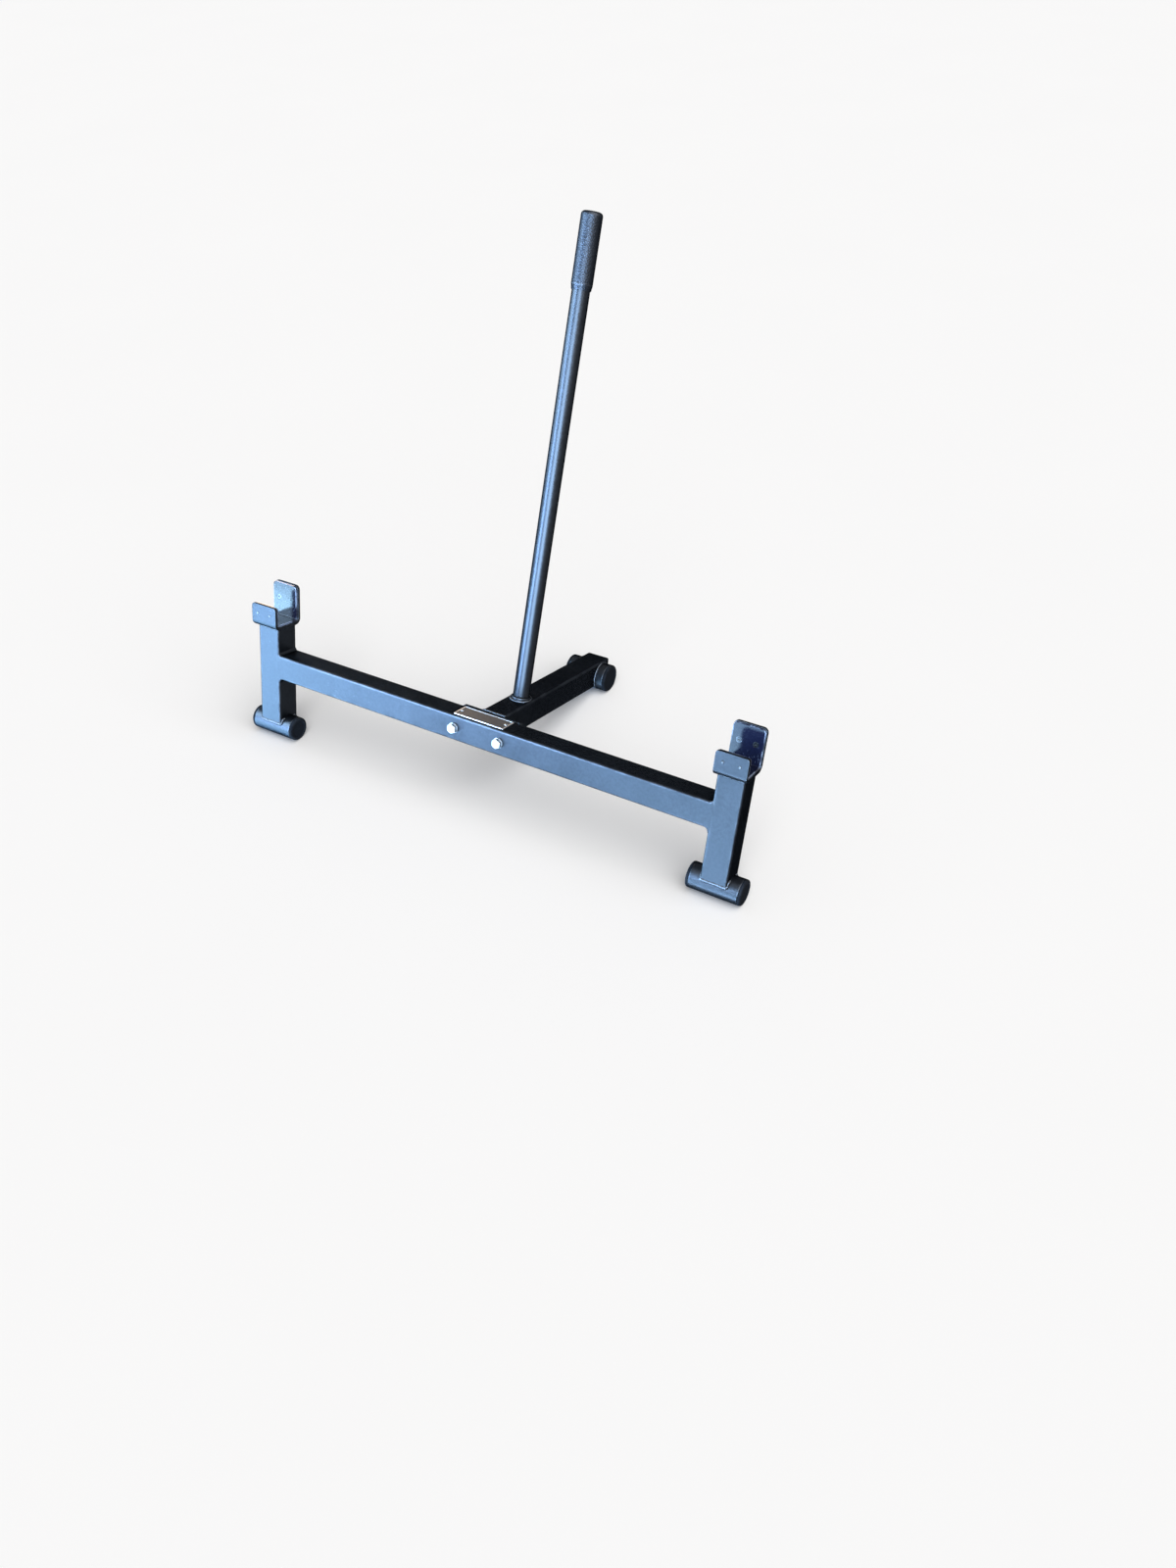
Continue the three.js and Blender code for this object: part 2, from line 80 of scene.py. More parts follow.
def rectangle(halfX, halfY):
    return [(halfX, -halfY), (halfX, halfY), (-halfX, halfY), (-halfX, -halfY)]


handleAxis = unit(frame["record"]["behaviour"]["joints"][0]["axis"])
handleAxes = np.stack([acrossAxis, np.cross(handleAxis, acrossAxis), handleAxis])
handleOrigin = inJack(jack["handleFoot"])
handleLean = np.arccos(np.clip(handleAxis @ upAxis, -1, 1))


def onHandle(points):
    return handleOrigin + jack["metres"] * np.asarray(points, float) @ handleAxes


fillet = {
    "steps": 6,
    "hold": 0.6,         # how far a hold point stands from its arc
    "flatShare": 0.4,    # and at most this share of the flat between two arcs
}
usualSharpAngle = 32     # degrees between faces at which smooth shading breaks


# A path through corners: each corner becomes an arc of its radius, with hold points beside it that keep the
# flats flat. The second result is 1 on outer arcs and 0 elsewhere, and wear follows it.
def filletPath(corners, radii, steps=fillet["steps"], hold=fillet["hold"], closed=False):
    corners = np.array(corners, float)
    radii = np.broadcast_to(radii, len(corners)).astype(float)
    before = unit(np.roll(corners, 1, axis=0) - corners)
    after = unit(np.roll(corners, -1, axis=0) - corners)
    half = 0.5 * np.arccos(np.clip(np.sum(before * after, axis=1), -1, 1))
    tangent = radii / np.tan(half)
    if not closed:
        tangent[[0, -1]] = 0
    length = np.linalg.norm(np.roll(corners, -1, axis=0) - corners, axis=1)
    free = length - tangent - np.roll(tangent, -1)
    points, edges = [], []
    for i, corner in enumerate(corners):
        if tangent[i] == 0:
            points.append(corner[None])
            edges.append([0.0])
            continue
        turn = before[i][1] * after[i][0] - before[i][0] * after[i][1]
        worn = 1.0 if turn > 0 else 0.0
        centre = corner + unit(before[i] + after[i]) * radii[i] / np.sin(half[i])
        start = corner + before[i] * tangent[i] - centre
        end = corner + after[i] * tangent[i] - centre
        sweep = np.pi - 2 * half[i]
        share = np.linspace(0, 1, steps + 1)[:, None]
        arc = centre + (np.sin((1 - share) * sweep) * start + np.sin(share * sweep) * end) / np.sin(sweep)
        leadIn = corner + before[i] * (tangent[i] + min(hold, fillet["flatShare"] * free[i - 1]))
        leadOut = corner + after[i] * (tangent[i] + min(hold, fillet["flatShare"] * free[i]))
        points += [leadIn[None], arc, leadOut[None]]
        edges += [[0.0], np.full(steps + 1, worn), [0.0]]
    return np.concatenate(points), np.concatenate(edges)


# A closed skin over rows of points. Each row is a ring, and the ends close on a point of their own,
# or the last row joins the first. Faces are turned outwards by the sign of the enclosed volume.
def skin(rows, edge=0.0, joined=False, poles=None):
    rows = np.asarray(rows, float)
    count, around = rows.shape[:2]
    edge = np.broadcast_to(edge, (count, around)).reshape(-1)
    index = np.arange(count * around).reshape(count, around)
    low = index if joined else index[:-1]
    high = np.roll(index, -1, axis=0) if joined else index[1:]
    quads = np.stack([low, np.roll(low, -1, axis=1), np.roll(high, -1, axis=1), high], axis=-1).reshape(-1, 4)
    points = rows.reshape(-1, 3)
    triangles = np.zeros((0, 3), int)
    if not joined:
        first, last = (rows[0].mean(axis=0), rows[-1].mean(axis=0)) if poles is None else poles
        points = np.concatenate([points, [first, last]])
        edge = np.concatenate([edge, [0, 0]])
        start, end = index[0], index[-1]
        pole = count * around
        triangles = np.concatenate([
            np.stack([np.roll(start, -1), start, np.full(around, pole)], axis=-1),
            np.stack([end, np.roll(end, -1), np.full(around, pole + 1)], axis=-1),
        ])
    return {"points": points, "quads": quads, "triangles": triangles, "edge": edge}


def placed(shell, place):
    points = place(shell["points"])
    quads, triangles = shell["quads"], shell["triangles"]
    halves = np.concatenate([quads[:, [0, 1, 2]], quads[:, [0, 2, 3]], triangles])
    corners = points[halves] - points.mean(axis=0)
    volume = np.sum(np.cross(corners[:, 0], corners[:, 1]) * corners[:, 2])
    if volume < 0:
        quads, triangles = quads[:, ::-1], triangles[:, ::-1]
    return {"points": points, "quads": quads, "triangles": triangles, "edge": shell["edge"]}


def meshOf(name, shells, place, sharpAngle=usualSharpAngle):
    parts = [placed(shell, place) for shell in shells]
    offsets = np.cumsum([0] + [len(part["points"]) for part in parts[:-1]])
    points = np.concatenate([part["points"] for part in parts])
    quads = np.concatenate([part["quads"] + offset for part, offset in zip(parts, offsets)])
    triangles = np.concatenate([part["triangles"] + offset for part, offset in zip(parts, offsets)])
    mesh = bpy.data.meshes.new(name)
    mesh.from_pydata(points.tolist(), [], quads.tolist() + triangles.tolist())
    mesh.validate()
    edge = mesh.attributes.new("edge", "FLOAT", "POINT")
    edge.data.foreach_set("value", np.concatenate([part["edge"] for part in parts]).astype(np.float32))
    smoothed(mesh, sharpAngle)
    return mesh


def smoothed(mesh, sharpAngle):
    mesh.shade_smooth()
    mesh.set_sharp_from_angle(angle=np.radians(sharpAngle))


def newObject(name, data):
    holder = bpy.data.objects.new(name, data)
    bpy.context.scene.collection.objects.link(holder)
    return holder


# A finished piece: its mesh, its material, the body it rides on and the solids it stands for
def addPiece(name, shells, finish, body, replaced=(), place=inJack, sharpAngle=usualSharpAngle):
    piece = newObject(name, meshOf(name, shells, place, sharpAngle))
    piece.data.materials.append(finishes[finish])
    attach(piece, body)
    if replaced:
        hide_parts(*replaced)
    return piece


# A piece that stands for one solid and takes its name: left_foot_tube becomes leftFootTube
def addPart(node, shells, finish, place=inJack, body="frame", sharpAngle=usualSharpAngle):
    first, *others = node.split("_")
    name = first + "".join(word.capitalize() for word in others)
    return addPiece(name, shells, finish, body, [node], place, sharpAngle)


# Takes the cutter's shape out of a piece and puts the result in its mesh
def cutAway(piece, shells, place=inJack, sharpAngle=usualSharpAngle):
    cutter = newObject("cutter", meshOf("cutter", shells, place))
    change = piece.modifiers.new("cut", "BOOLEAN")
    change.operation = "DIFFERENCE"
    change.solver = "EXACT"
    change.object = cutter
    bpy.context.view_layer.update()
    evaluated = piece.evaluated_get(bpy.context.evaluated_depsgraph_get())
    mesh = bpy.data.meshes.new_from_object(evaluated)
    piece.modifiers.clear()
    plain, piece.data = piece.data, mesh
    bpy.data.meshes.remove(plain)
    mesh.name = piece.name
    shape = cutter.data
    bpy.data.objects.remove(cutter)
    bpy.data.meshes.remove(shape)
    smoothed(mesh, sharpAngle)


# Rings whose radius may change with the angle: radii is one row of radii for each height
def ringSkin(radii, heights, edge=0.0, joined=False, poles=None):
    radii = np.asarray(radii, float)
    angle = fullTurn(radii.shape[1])
    height = np.broadcast_to(np.asarray(heights, float).reshape(len(radii), -1), radii.shape)
    return skin(np.stack([radii * np.cos(angle), radii * np.sin(angle), height], axis=-1), edge, joined, poles)


# Surface of revolution: radius and height along a profile, turned through a full circle
def turnedSkin(profile, edge, steps, joined=False):
    profile, edge = np.asarray(profile, float), np.asarray(edge)
    poles = None
    if not joined:
        poles = (np.array([0, 0, profile[0][1]]), np.array([0, 0, profile[-1][1]]))
        profile, edge = profile[1:-1], edge[1:-1]
    return ringSkin(np.repeat(profile[:, :1], steps, axis=1), profile[:, 1], edge[:, None], joined, poles)


# How far a hexagon's side is from its centre: half the width over the cosine of the angle from the side's middle
def hexagonRadius(angle, width):
    sector = np.pi / 3
    return 0.5 * width / np.cos((angle + sector / 2) % sector - sector / 2)


# Turns a piece made along z so that it lies along another axis of the jack, and moves it there
def laid(along, centre):
    turns = {
        "x": np.array([[0, 0, -1], [0, 1, 0], [1, 0, 0]]),
        "-x": np.array([[0, 0, 1], [0, 1, 0], [-1, 0, 0]]),
        "y": np.array([[1, 0, 0], [0, 0, -1], [0, 1, 0]]),
        "-y": np.array([[1, 0, 0], [0, 0, 1], [0, -1, 0]]),
        "z": np.eye(3),
    }
    return lambda points: inJack(np.asarray(points, float) @ turns[along] + np.asarray(centre, float))


tube = {
    "side": 50,
    "wall": 3,
    "cornerRadius": 3.5,
    "cornerSteps": 8,
    "flatHold": 2.5,     # how far wear reaches from a corner on to the flat
    "beamHeight": 159,
    "endHold": (0, 0.5, 3),
    "endWear": (1, 0.6, 0),
    "stations": 8,       # rows between the two ends
    "roundSteps": 96,    # points round a round tube, a cap and the grip
    "roundArcSteps": 3,
    "roundHold": 1.5,
    "footEndRound": 1.0,
}


def squareOutline(side, radius, hold):
    return filletPath(rectangle(side / 2, side / 2), radius, tube["cornerSteps"], hold, closed=True)


# Square tube: the outer outline goes from start to end and the inner one comes back, so that the skin is
# one closed ring with an open bore. Start and end may differ for every point of the outline.
def squareTubeRows(startAt, endAt, stations=tube["stations"]):
    side, wall, radius = pick(tube, "side wall cornerRadius")
    outer, edge = squareOutline(side, radius, tube["flatHold"])
    inner, _ = squareOutline(side - 2 * wall, radius - wall, tube["flatHold"])
    start, end = startAt(outer), endAt(outer)
    hold = np.array(tube["endHold"], float)
    share = np.linspace(0, 1, stations + 2)[1:-1, None]
    outerAlong = np.concatenate([start + hold[:, None], start + (end - start) * share, end - hold[::-1, None]])
    innerAlong = np.stack([endAt(inner), startAt(inner)])
    fade = np.concatenate([tube["endWear"], np.zeros(stations), tube["endWear"][::-1]])[:, None]
    across = np.concatenate([
        np.broadcast_to(outer, (len(outerAlong), *outer.shape)),
        np.broadcast_to(inner, (2, *inner.shape)),
    ])
    along = np.concatenate([outerAlong, innerAlong])
    wear = np.concatenate([np.maximum(edge, fade), np.zeros((2, len(inner)))])
    return across, along, wear


def flatEnd(place):
    return lambda outline: np.full(len(outline), float(place))


# Satin black goes darker still where it is seen at a slant
darkGrazing = {"Metallic": 1.0, "Specular Tint": (0.0, 0.0, 0.0, 1)}
# Colours are linear. Peel, grain and pebble are in waves per metre, lines and cloud are a noise's scale, detail
# and roughness, depth is in metres, and sockets are the shader's constants.
finishValues = {
    "coat": {"color": (0.054, 0.060, 0.070, 1), "worn": (0.15, 0.165, 0.19, 1), "roughness": 0.36, "peel": 420,
             "grain": 1900, "depth": 0.00022, "wear": 0.30, "scuffs": 0.25, "sockets": darkGrazing},
    # The welds are coated like the frame, but their colour is lighter than the coat's: a painted highlight that makes
    # the beads show as light lines
    "weld": {"color": (0.12, 0.134, 0.155, 1), "worn": (0.30, 0.33, 0.37, 1), "roughness": 0.29, "peel": 700,
             "grain": 2600, "depth": 0.00025, "wear": 0.35, "scuffs": 0.0,
             "sockets": {"Metallic": 1.0, "Specular Tint": (0.3, 0.3, 0.3, 1)}},
    "cap": {"color": (0.006, 0.007, 0.009, 1), "worn": (0.03, 0.032, 0.036, 1), "roughness": 0.70, "peel": 900,
            "grain": 2600, "depth": 0.00012, "wear": 0.35, "scuffs": 0.15, "sockets": {"Specular IOR Level": 0.03}},
    # On the liner the worn colour is a pale blue painted highlight along its edges and ends; its scuffs take the same
    # colour
    "liner": {"color": (0.004, 0.005, 0.014, 1), "worn": (0.25, 0.30, 0.40, 1), "roughness": 0.14, "peel": 160,
              "grain": 1500, "depth": 0.00008, "wear": 0.85, "scuffs": 0.35, "sockets": {"Specular IOR Level": 0.6}},
    "zinc": {"color": (0.46, 0.48, 0.50, 1), "worn": (0.32, 0.33, 0.34, 1), "roughness": 0.38, "peel": 300,
             "grain": 2400, "depth": 0.00004, "wear": 0.25, "scuffs": 0.2, "sockets": {"Metallic": 1.0}},
    "screw": {"color": (0.10, 0.104, 0.112, 1), "worn": (0.62, 0.64, 0.67, 1), "roughness": 0.28, "peel": 500,
              "grain": 2600, "depth": 0.00004, "wear": 0.9, "scuffs": 0.1, "sockets": {"Metallic": 1.0}},
    "plate": {"panel": (0.13, 0.136, 0.148, 1), "rim": (0.66, 0.66, 0.68, 1), "rimLimits": (0.3, 0.7),
              "roughness": 0.25, "spread": 0.22, "lines": (1400, 3.0, 0.65), "stretch": 0.02, "cloud": (60, 3.0),
              "tone": 0.6, "lineTone": 0.5, "cloudTone": 0.3, "depth": 0.00003, "bump": 0.5,
              "sockets": {"Metallic": 1.0}},
    "grip": {"color": (0.050, 0.056, 0.068, 1), "worn": (0.12, 0.128, 0.145, 1), "dark": 0.7, "light": 1.5,
             "roughness": 0.47, "spread": -0.14, "pebble": 430, "pebbleLimits": (0.1, 0.8), "smooth": 0.6,
             "pebbleTone": 0.5, "peel": 90, "grain": 2600, "grainHeight": 0.25, "grainTone": 0.4, "depth": 0.0003,
             "bump": 0.8, "wear": 0.5, "sockets": darkGrazing},
}
# Shared by all the finishes but plate and grip: dark and light multiply the colour at the ends of the mottle
grained = {"dark": 0.74, "light": 1.26, "shade": 0.55, "spread": 0.12, "bump": 0.6}
# What the shared groups draw. A noise is its scale, detail and roughness; peel and grain are given their scale.
# Limits are where a ramp starts and ends.
pattern = {
    "peel": (2.0, 0.45),
    "grain": (3.0, 0.6),
    "cloud": (14, 4.0, 0.55),
    "mottle": (190, 4.0, 0.6),
    "mottleShare": 1.8,
    "peelShare": 0.65,
    "wearPatch": (38, 3.0),
    "wearPatchLimits": (0.38, 0.62),
    "wearSpeck": (520, 2.0),
    "wearSpeckLimits": (0.35, 0.65, 0.4, 1.0),
    "streaks": ((0.35, (900, 70, 160)), (-0.8, (120, 800, 90))),   # turn, and stretch along each axis
    "streak": (1.0, 1.0),
    "streakLimits": (0.68, 0.74),
    "scuffPatch": (9, 2.0),
    "scuffPatchLimits": (0.52, 0.68),
}


def addNode(tree, kind, settings=None, inputs=None):
    node = tree.nodes.new(kind)
    for key, value in (settings or {}).items():
        setattr(node, key, value)
    for key, value in (inputs or {}).items():
        if isinstance(value, bpy.types.NodeSocket):
            tree.links.new(value, node.inputs[key])
        else:
            node.inputs[key].default_value = value
    return node


def mathNode(tree, operation, first, second=0.5, third=None):
    inputs = {0: first, 1: second}
    if third is not None:
        inputs[2] = third
    return addNode(tree, "ShaderNodeMath", {"operation": operation}, inputs).outputs[0]


# Inputs 6 and 7 of a mix node take its colours, and output 2 gives the mixed one
def mixColor(tree, factor, first, second, blend="MIX"):
    return addNode(tree, "ShaderNodeMix", {"data_type": "RGBA", "blend_type": blend},
                   {0: factor, 6: first, 7: second}).outputs[2]


def ramp(tree, value, low, high, toLow=0.0, toHigh=1.0):
    return addNode(tree, "ShaderNodeMapRange", {"interpolation_type": "SMOOTHSTEP"},
                   {0: value, 1: low, 2: high, 3: toLow, 4: toHigh}).outputs[0]


def noiseNode(tree, vector, scale, detail, roughness=0.5):
    inputs = {"Vector": vector, "Scale": scale, "Detail": detail, "Roughness": roughness}
    return addNode(tree, "ShaderNodeTexNoise", None, inputs).outputs[0]


# A group takes a place and some numbers, here with their defaults, and gives out numbers
def newGroup(name, inputs, outputs):
    group = bpy.data.node_groups.new(name, "ShaderNodeTree")
    group.interface.new_socket(name="Vector", in_out="INPUT", socket_type="NodeSocketVector")
    for label, value in inputs.items():
        group.interface.new_socket(name=label, in_out="INPUT", socket_type="NodeSocketFloat").default_value = value
    for label in outputs:
        group.interface.new_socket(name=label, in_out="OUTPUT", socket_type="NodeSocketFloat")
    return group, group.nodes.new("NodeGroupInput").outputs, group.nodes.new("NodeGroupOutput").inputs


# Sprayed or moulded skin: a soft orange peel and a fine grain as height; clouds, mottle and grain as a shade
# around zero
def makeSurfaceGrain():
    group, given, put = newGroup("surfaceGrain", {"Peel": 400, "Grain": 1800}, ["Height", "Shade"])
    place = given["Vector"]
    peel = noiseNode(group, place, given["Peel"], *pattern["peel"])
    grain = noiseNode(group, place, given["Grain"], *pattern["grain"])
    cloud, mottle = (noiseNode(group, place, *pattern[name]) for name in ("cloud", "mottle"))
    fine = mathNode(group, "MULTIPLY", grain, 1 - pattern["peelShare"])
    height = mathNode(group, "MULTIPLY_ADD", peel, pattern["peelShare"], fine)
    cloud, grain, mottle = (mathNode(group, "SUBTRACT", noise, 0.5) for noise in (cloud, grain, mottle))
    shade = mathNode(group, "ADD", cloud, grain)
    shade = mathNode(group, "MULTIPLY_ADD", mottle, pattern["mottleShare"], shade)
    group.links.new(height, put["Height"])
    group.links.new(shade, put["Shade"])
    return group


# Rubbed corners, and on the liner a painted highlight along its edges: the edge attribute, broken up by noise at two
# sizes
def makeEdgeWear():
    group, given, put = newGroup("edgeWear", {"Edge": 0, "Amount": 0.5}, ["Mask"])
    patch, speck = (noiseNode(group, given["Vector"], *pattern[name]) for name in ("wearPatch", "wearSpeck"))
    broken = mathNode(group, "MULTIPLY", ramp(group, patch, *pattern["wearPatchLimits"]),
                      ramp(group, speck, *pattern["wearSpeckLimits"]))
    mask = mathNode(group, "MULTIPLY", mathNode(group, "MULTIPLY", given["Edge"], broken), given["Amount"])
    group.links.new(mask, put["Mask"])
    return group


# Scuffs: thin streaks where a stretched noise crosses a high threshold, kept to patches
def makeScuffs():
    group, given, put = newGroup("scuffs", {"Amount": 0.3}, ["Mask"])
    streaks = []
    for turn, stretch in pattern["streaks"]:
        mapping = addNode(group, "ShaderNodeMapping", None,
                          {"Vector": given["Vector"], "Rotation": (0, turn, turn), "Scale": stretch}).outputs[0]
        streaks.append(ramp(group, noiseNode(group, mapping, *pattern["streak"]), *pattern["streakLimits"]))
    patch = noiseNode(group, given["Vector"], *pattern["scuffPatch"])
    both = mathNode(group, "MAXIMUM", *streaks)
    kept = mathNode(group, "MULTIPLY", both, ramp(group, patch, *pattern["scuffPatchLimits"]))
    group.links.new(mathNode(group, "MULTIPLY", kept, given["Amount"]), put["Mask"])
    return group


def useGroup(tree, group, inputs):
    return addNode(tree, "ShaderNodeGroup", {"node_tree": group}, inputs).outputs


groups = {"grain": makeSurfaceGrain(), "wear": makeEdgeWear(), "scuffs": makeScuffs()}


def newMaterial(name):
    material = bpy.data.materials.new(name)
    material.use_nodes = True
    tree = material.node_tree
    shader = tree.nodes["Principled BSDF"]
    place = addNode(tree, "ShaderNodeTexCoord").outputs["Object"]
    return material, tree, shader, place


def scaled(color, factor):
    return tuple(factor * part for part in color[:3]) + (1,)


# Feeds colour, roughness and bump to a material's shader and sets its constants
def feedShader(tree, shader, color, roughness, height, strength, values):
    bump = addNode(tree, "ShaderNodeBump", None,
                   {"Height": height, "Strength": strength, "Distance": values["depth"]})
    for key, value in (("Base Color", color), ("Roughness", roughness), ("Normal", bump.outputs[0])):
        tree.links.new(value, shader.inputs[key])
    for key, value in values["sockets"].items():
        shader.inputs[key].default_value = value


def edgeOf(tree):
    return addNode(tree, "ShaderNodeAttribute", {"attribute_name": "edge"}).outputs["Fac"]


def grainAndWear(tree, place, values):
    grain = useGroup(tree, groups["grain"], {"Vector": place, "Peel": values["peel"], "Grain": values["grain"]})
    wear = useGroup(tree, groups["wear"], {"Vector": place, "Edge": edgeOf(tree), "Amount": values["wear"]})
    return grain["Height"], grain["Shade"], wear["Mask"]


# A sprayed, moulded or metal surface: grain and mottle all over, rubbed edges and scuffs. On the liner the edge
# colour is a painted highlight along its edges
def grainedFinish(name, values):
    material, tree, shader, place = newMaterial(name)
    height, grain, wear = grainAndWear(tree, place, values)
    scuff = useGroup(tree, groups["scuffs"], {"Vector": place, "Amount": values["scuffs"]})["Mask"]
    worn = mathNode(tree, "MAXIMUM", wear, scuff)
    shade = mathNode(tree, "MULTIPLY_ADD", grain, grained["shade"], 0.5)
    plain = mixColor(tree, shade, scaled(values["color"], grained["dark"]), scaled(values["color"], grained["light"]))
    roughness = mathNode(tree, "MULTIPLY_ADD", grain, grained["spread"], values["roughness"])
    roughness = mathNode(tree, "MULTIPLY_ADD", worn, grained["spread"], roughness)
    color = mixColor(tree, worn, plain, values["worn"])
    feedShader(tree, shader, color, roughness, height, grained["bump"], values)
    return material


# Rubber moulded with a fine pebble: rounded cells of a Voronoi pattern over a fine grain
def rubberFinish(name, values):
    material, tree, shader, place = newMaterial(name)
    cells = addNode(tree, "ShaderNodeTexVoronoi", {"feature": "SMOOTH_F1"},
                    {"Vector": place, "Scale": values["pebble"], "Smoothness": values["smooth"]}).outputs["Distance"]
    height, grain, wear = grainAndWear(tree, place, values)
    pebble = mathNode(tree, "SUBTRACT", 1.0, ramp(tree, cells, *values["pebbleLimits"]))
    height = mathNode(tree, "MULTIPLY_ADD", height, values["grainHeight"], pebble)
    fine = mathNode(tree, "MULTIPLY", grain, values["grainTone"])
    tone = mathNode(tree, "MULTIPLY_ADD", pebble, values["pebbleTone"], fine)
    plain = mixColor(tree, tone, scaled(values["color"], values["dark"]), scaled(values["color"], values["light"]))
    roughness = mathNode(tree, "MULTIPLY_ADD", pebble, values["spread"], values["roughness"])
    color = mixColor(tree, wear, plain, values["worn"])
    feedShader(tree, shader, color, roughness, height, values["bump"], values)
    return material


# Aluminium brushed along its length; the sunk panel is darker than the rim, told apart by the attribute
def plateFinish(name, values):
    material, tree, shader, place = newMaterial(name)
    brush = addNode(tree, "ShaderNodeMapping", None, {"Vector": place, "Scale": (values["stretch"], 1, 1)})
    lines = noiseNode(tree, brush.outputs[0], *values["lines"])
    cloud = noiseNode(tree, place, *values["cloud"])
    plain = mixColor(tree, ramp(tree, edgeOf(tree), *values["rimLimits"]), values["panel"], values["rim"])
    tone = mathNode(tree, "MULTIPLY_ADD", cloud, values["cloudTone"], values["tone"])
    tone = mathNode(tree, "MULTIPLY_ADD", lines, values["lineTone"], tone)
    color = mixColor(tree, 1.0, plain, tone, "MULTIPLY")
    roughness = mathNode(tree, "MULTIPLY_ADD", lines, values["spread"], values["roughness"])
    feedShader(tree, shader, color, roughness, lines, values["bump"], values)
    return material


finishes = {
    "coat": grainedFinish("powderCoat", finishValues["coat"]),
    "weld": grainedFinish("coatedWeld", finishValues["weld"]),
    "cap": grainedFinish("capPlastic", finishValues["cap"]),
    "liner": grainedFinish("linerPlastic", finishValues["liner"]),
    "zinc": grainedFinish("zincSteel", finishValues["zinc"]),
    "screw": grainedFinish("blackenedSteel", finishValues["screw"]),
    "plate": plateFinish("plateMetal", finishValues["plate"]),
    "grip": rubberFinish("gripRubber", finishValues["grip"]),
}
print("finishes made,", len(finishes))


frontFrame = {
    "beamHalf": 469.7,       # the beam ends a seam short of the uprights
    "beamStations": 24,
    "uprightX": 495,
    "uprightTop": 238,
    "uprightLow": 35.6,      # the flat cut below which the foot is open
    "middleY": 25,
    "footHeight": 24.15,
    "footRadius": 24.1,
    "footWall": 3.2,
    "footHalf": 46,
}


# Height of the round foot's back at a distance from its axis: the root of radius squared less distance squared
def saddleHeight(outline):
    radius = frontFrame["footRadius"] + seam
    rise = np.sqrt(np.maximum(radius ** 2 - outline[:, 1] ** 2, 0))
    return np.maximum(frontFrame["footHeight"] + rise, frontFrame["uprightLow"])


def makeFrontBeam():
    half = frontFrame["beamHalf"]
    across, along, wear = squareTubeRows(flatEnd(-half), flatEnd(half), frontFrame["beamStations"])
    rows = np.stack([along, across[..., 0] + frontFrame["middleY"], across[..., 1] + tube["beamHeight"]], axis=-1)
    addPart("front_beam", [skin(rows, wear, joined=True)], "coat")


def makeUpright(side, x):
    across, along, wear = squareTubeRows(saddleHeight, flatEnd(frontFrame["uprightTop"]))
    rows = np.stack([across[..., 0] + x, across[..., 1] + frontFrame["middleY"], along], axis=-1)
    addPart(side + "_upright", [skin(rows, wear, joined=True)], "coat")


def roundTubeSkin(radius, wall, low, high, endRound):
    corners = [(radius - wall, low), (radius, low), (radius, high), (radius - wall, high)]
    profile, edge = filletPath(corners, endRound, tube["roundArcSteps"], tube["roundHold"], closed=True)
    return turnedSkin(profile, edge, tube["roundSteps"], joined=True)


cap = {
    "head": 6,
    "plugLength": 14,
    "wall": 2.5,
    "dish": 1.2,
    "rimWidth": 6,
    "gateRadius": 1.7,   # mark of the moulding gate in the middle of the dish
    "gateDepth": 0.25,
    "gateSlope": 0.3,
    "rounds": (0, 0.4, 0.5, 0.8, 0.1, 0.3, 3.5, 0.7, 0.7, 0.1, 0.1, 0),   # at the half section's corners in turn
    "arcSteps": 5,
    "hold": 0.8,
}


# A cap's half section from the axis round the hollow plug, over the rounded rim and into the dished face
def capSkin(radius, wall):
    plug, dish = radius - wall - seam, radius - cap["rimWidth"]
    hollow, end, head = plug - cap["wall"], -cap["plugLength"], cap["head"]
    face = head - cap["dish"]
    roof, gate = face - cap["wall"], face - cap["gateDepth"]
    corners = [
        (0, roof), (hollow, roof), (hollow, end), (plug, end), (plug, seam), (radius, seam), (radius, head),
        (dish, head), (dish - cap["dish"], face), (cap["gateRadius"], face),
        (cap["gateRadius"] - cap["gateSlope"], gate), (0, gate),
    ]
    profile, edge = filletPath(corners, cap["rounds"], cap["arcSteps"], cap["hold"])
    return turnedSkin(profile, edge, tube["roundSteps"])


def makeFoot(foot, centre, values):
    radius, wall, half = pick(values, "footRadius footWall footHalf")
    shell = roundTubeSkin(radius, wall, -half, half, tube["footEndRound"])
    addPart(foot + "_tube", [shell], "coat", laid("x", centre))
    for word, along, side in (("left", "-x", -1), ("right", "x", 1)):
        seat = (centre[0] + side * half, centre[1], centre[2])
        addPart(foot + "_" + word + "_cap", [capSkin(radius, wall)], "cap", laid(along, seat))


cup = {
    "width": 60,
    "plate": 6,
    "bend": 12,
    "bendSteps": 12,
    "front": -12,
    "rear": 58,
    "bottom": 238.3,
    "lipTop": 284.3,
    "backTop": 316.3,
    "lipCorner": 6,
    "backCorner": 9,
    "edgeRound": 0.9,
    "edgeSteps": 4,
    "edgeHold": 1.2,
    "endRows": (0, 0.06, 0.25, 0.6, 1.0),                # rows near an end, as shares of the edge's round
    "cornerRows": (1.6, 2.4, 3.4, 4.6, 6, 7.5, 9, 12),   # and further in, as distances
    "endWear": 1.6,
    "liner": 4,
    "linerMargin": 1,
    "screwHalfPitch": 15,
    "lipScrewHeight": 266.3,
    "backScrewHeight": 285.3,
}


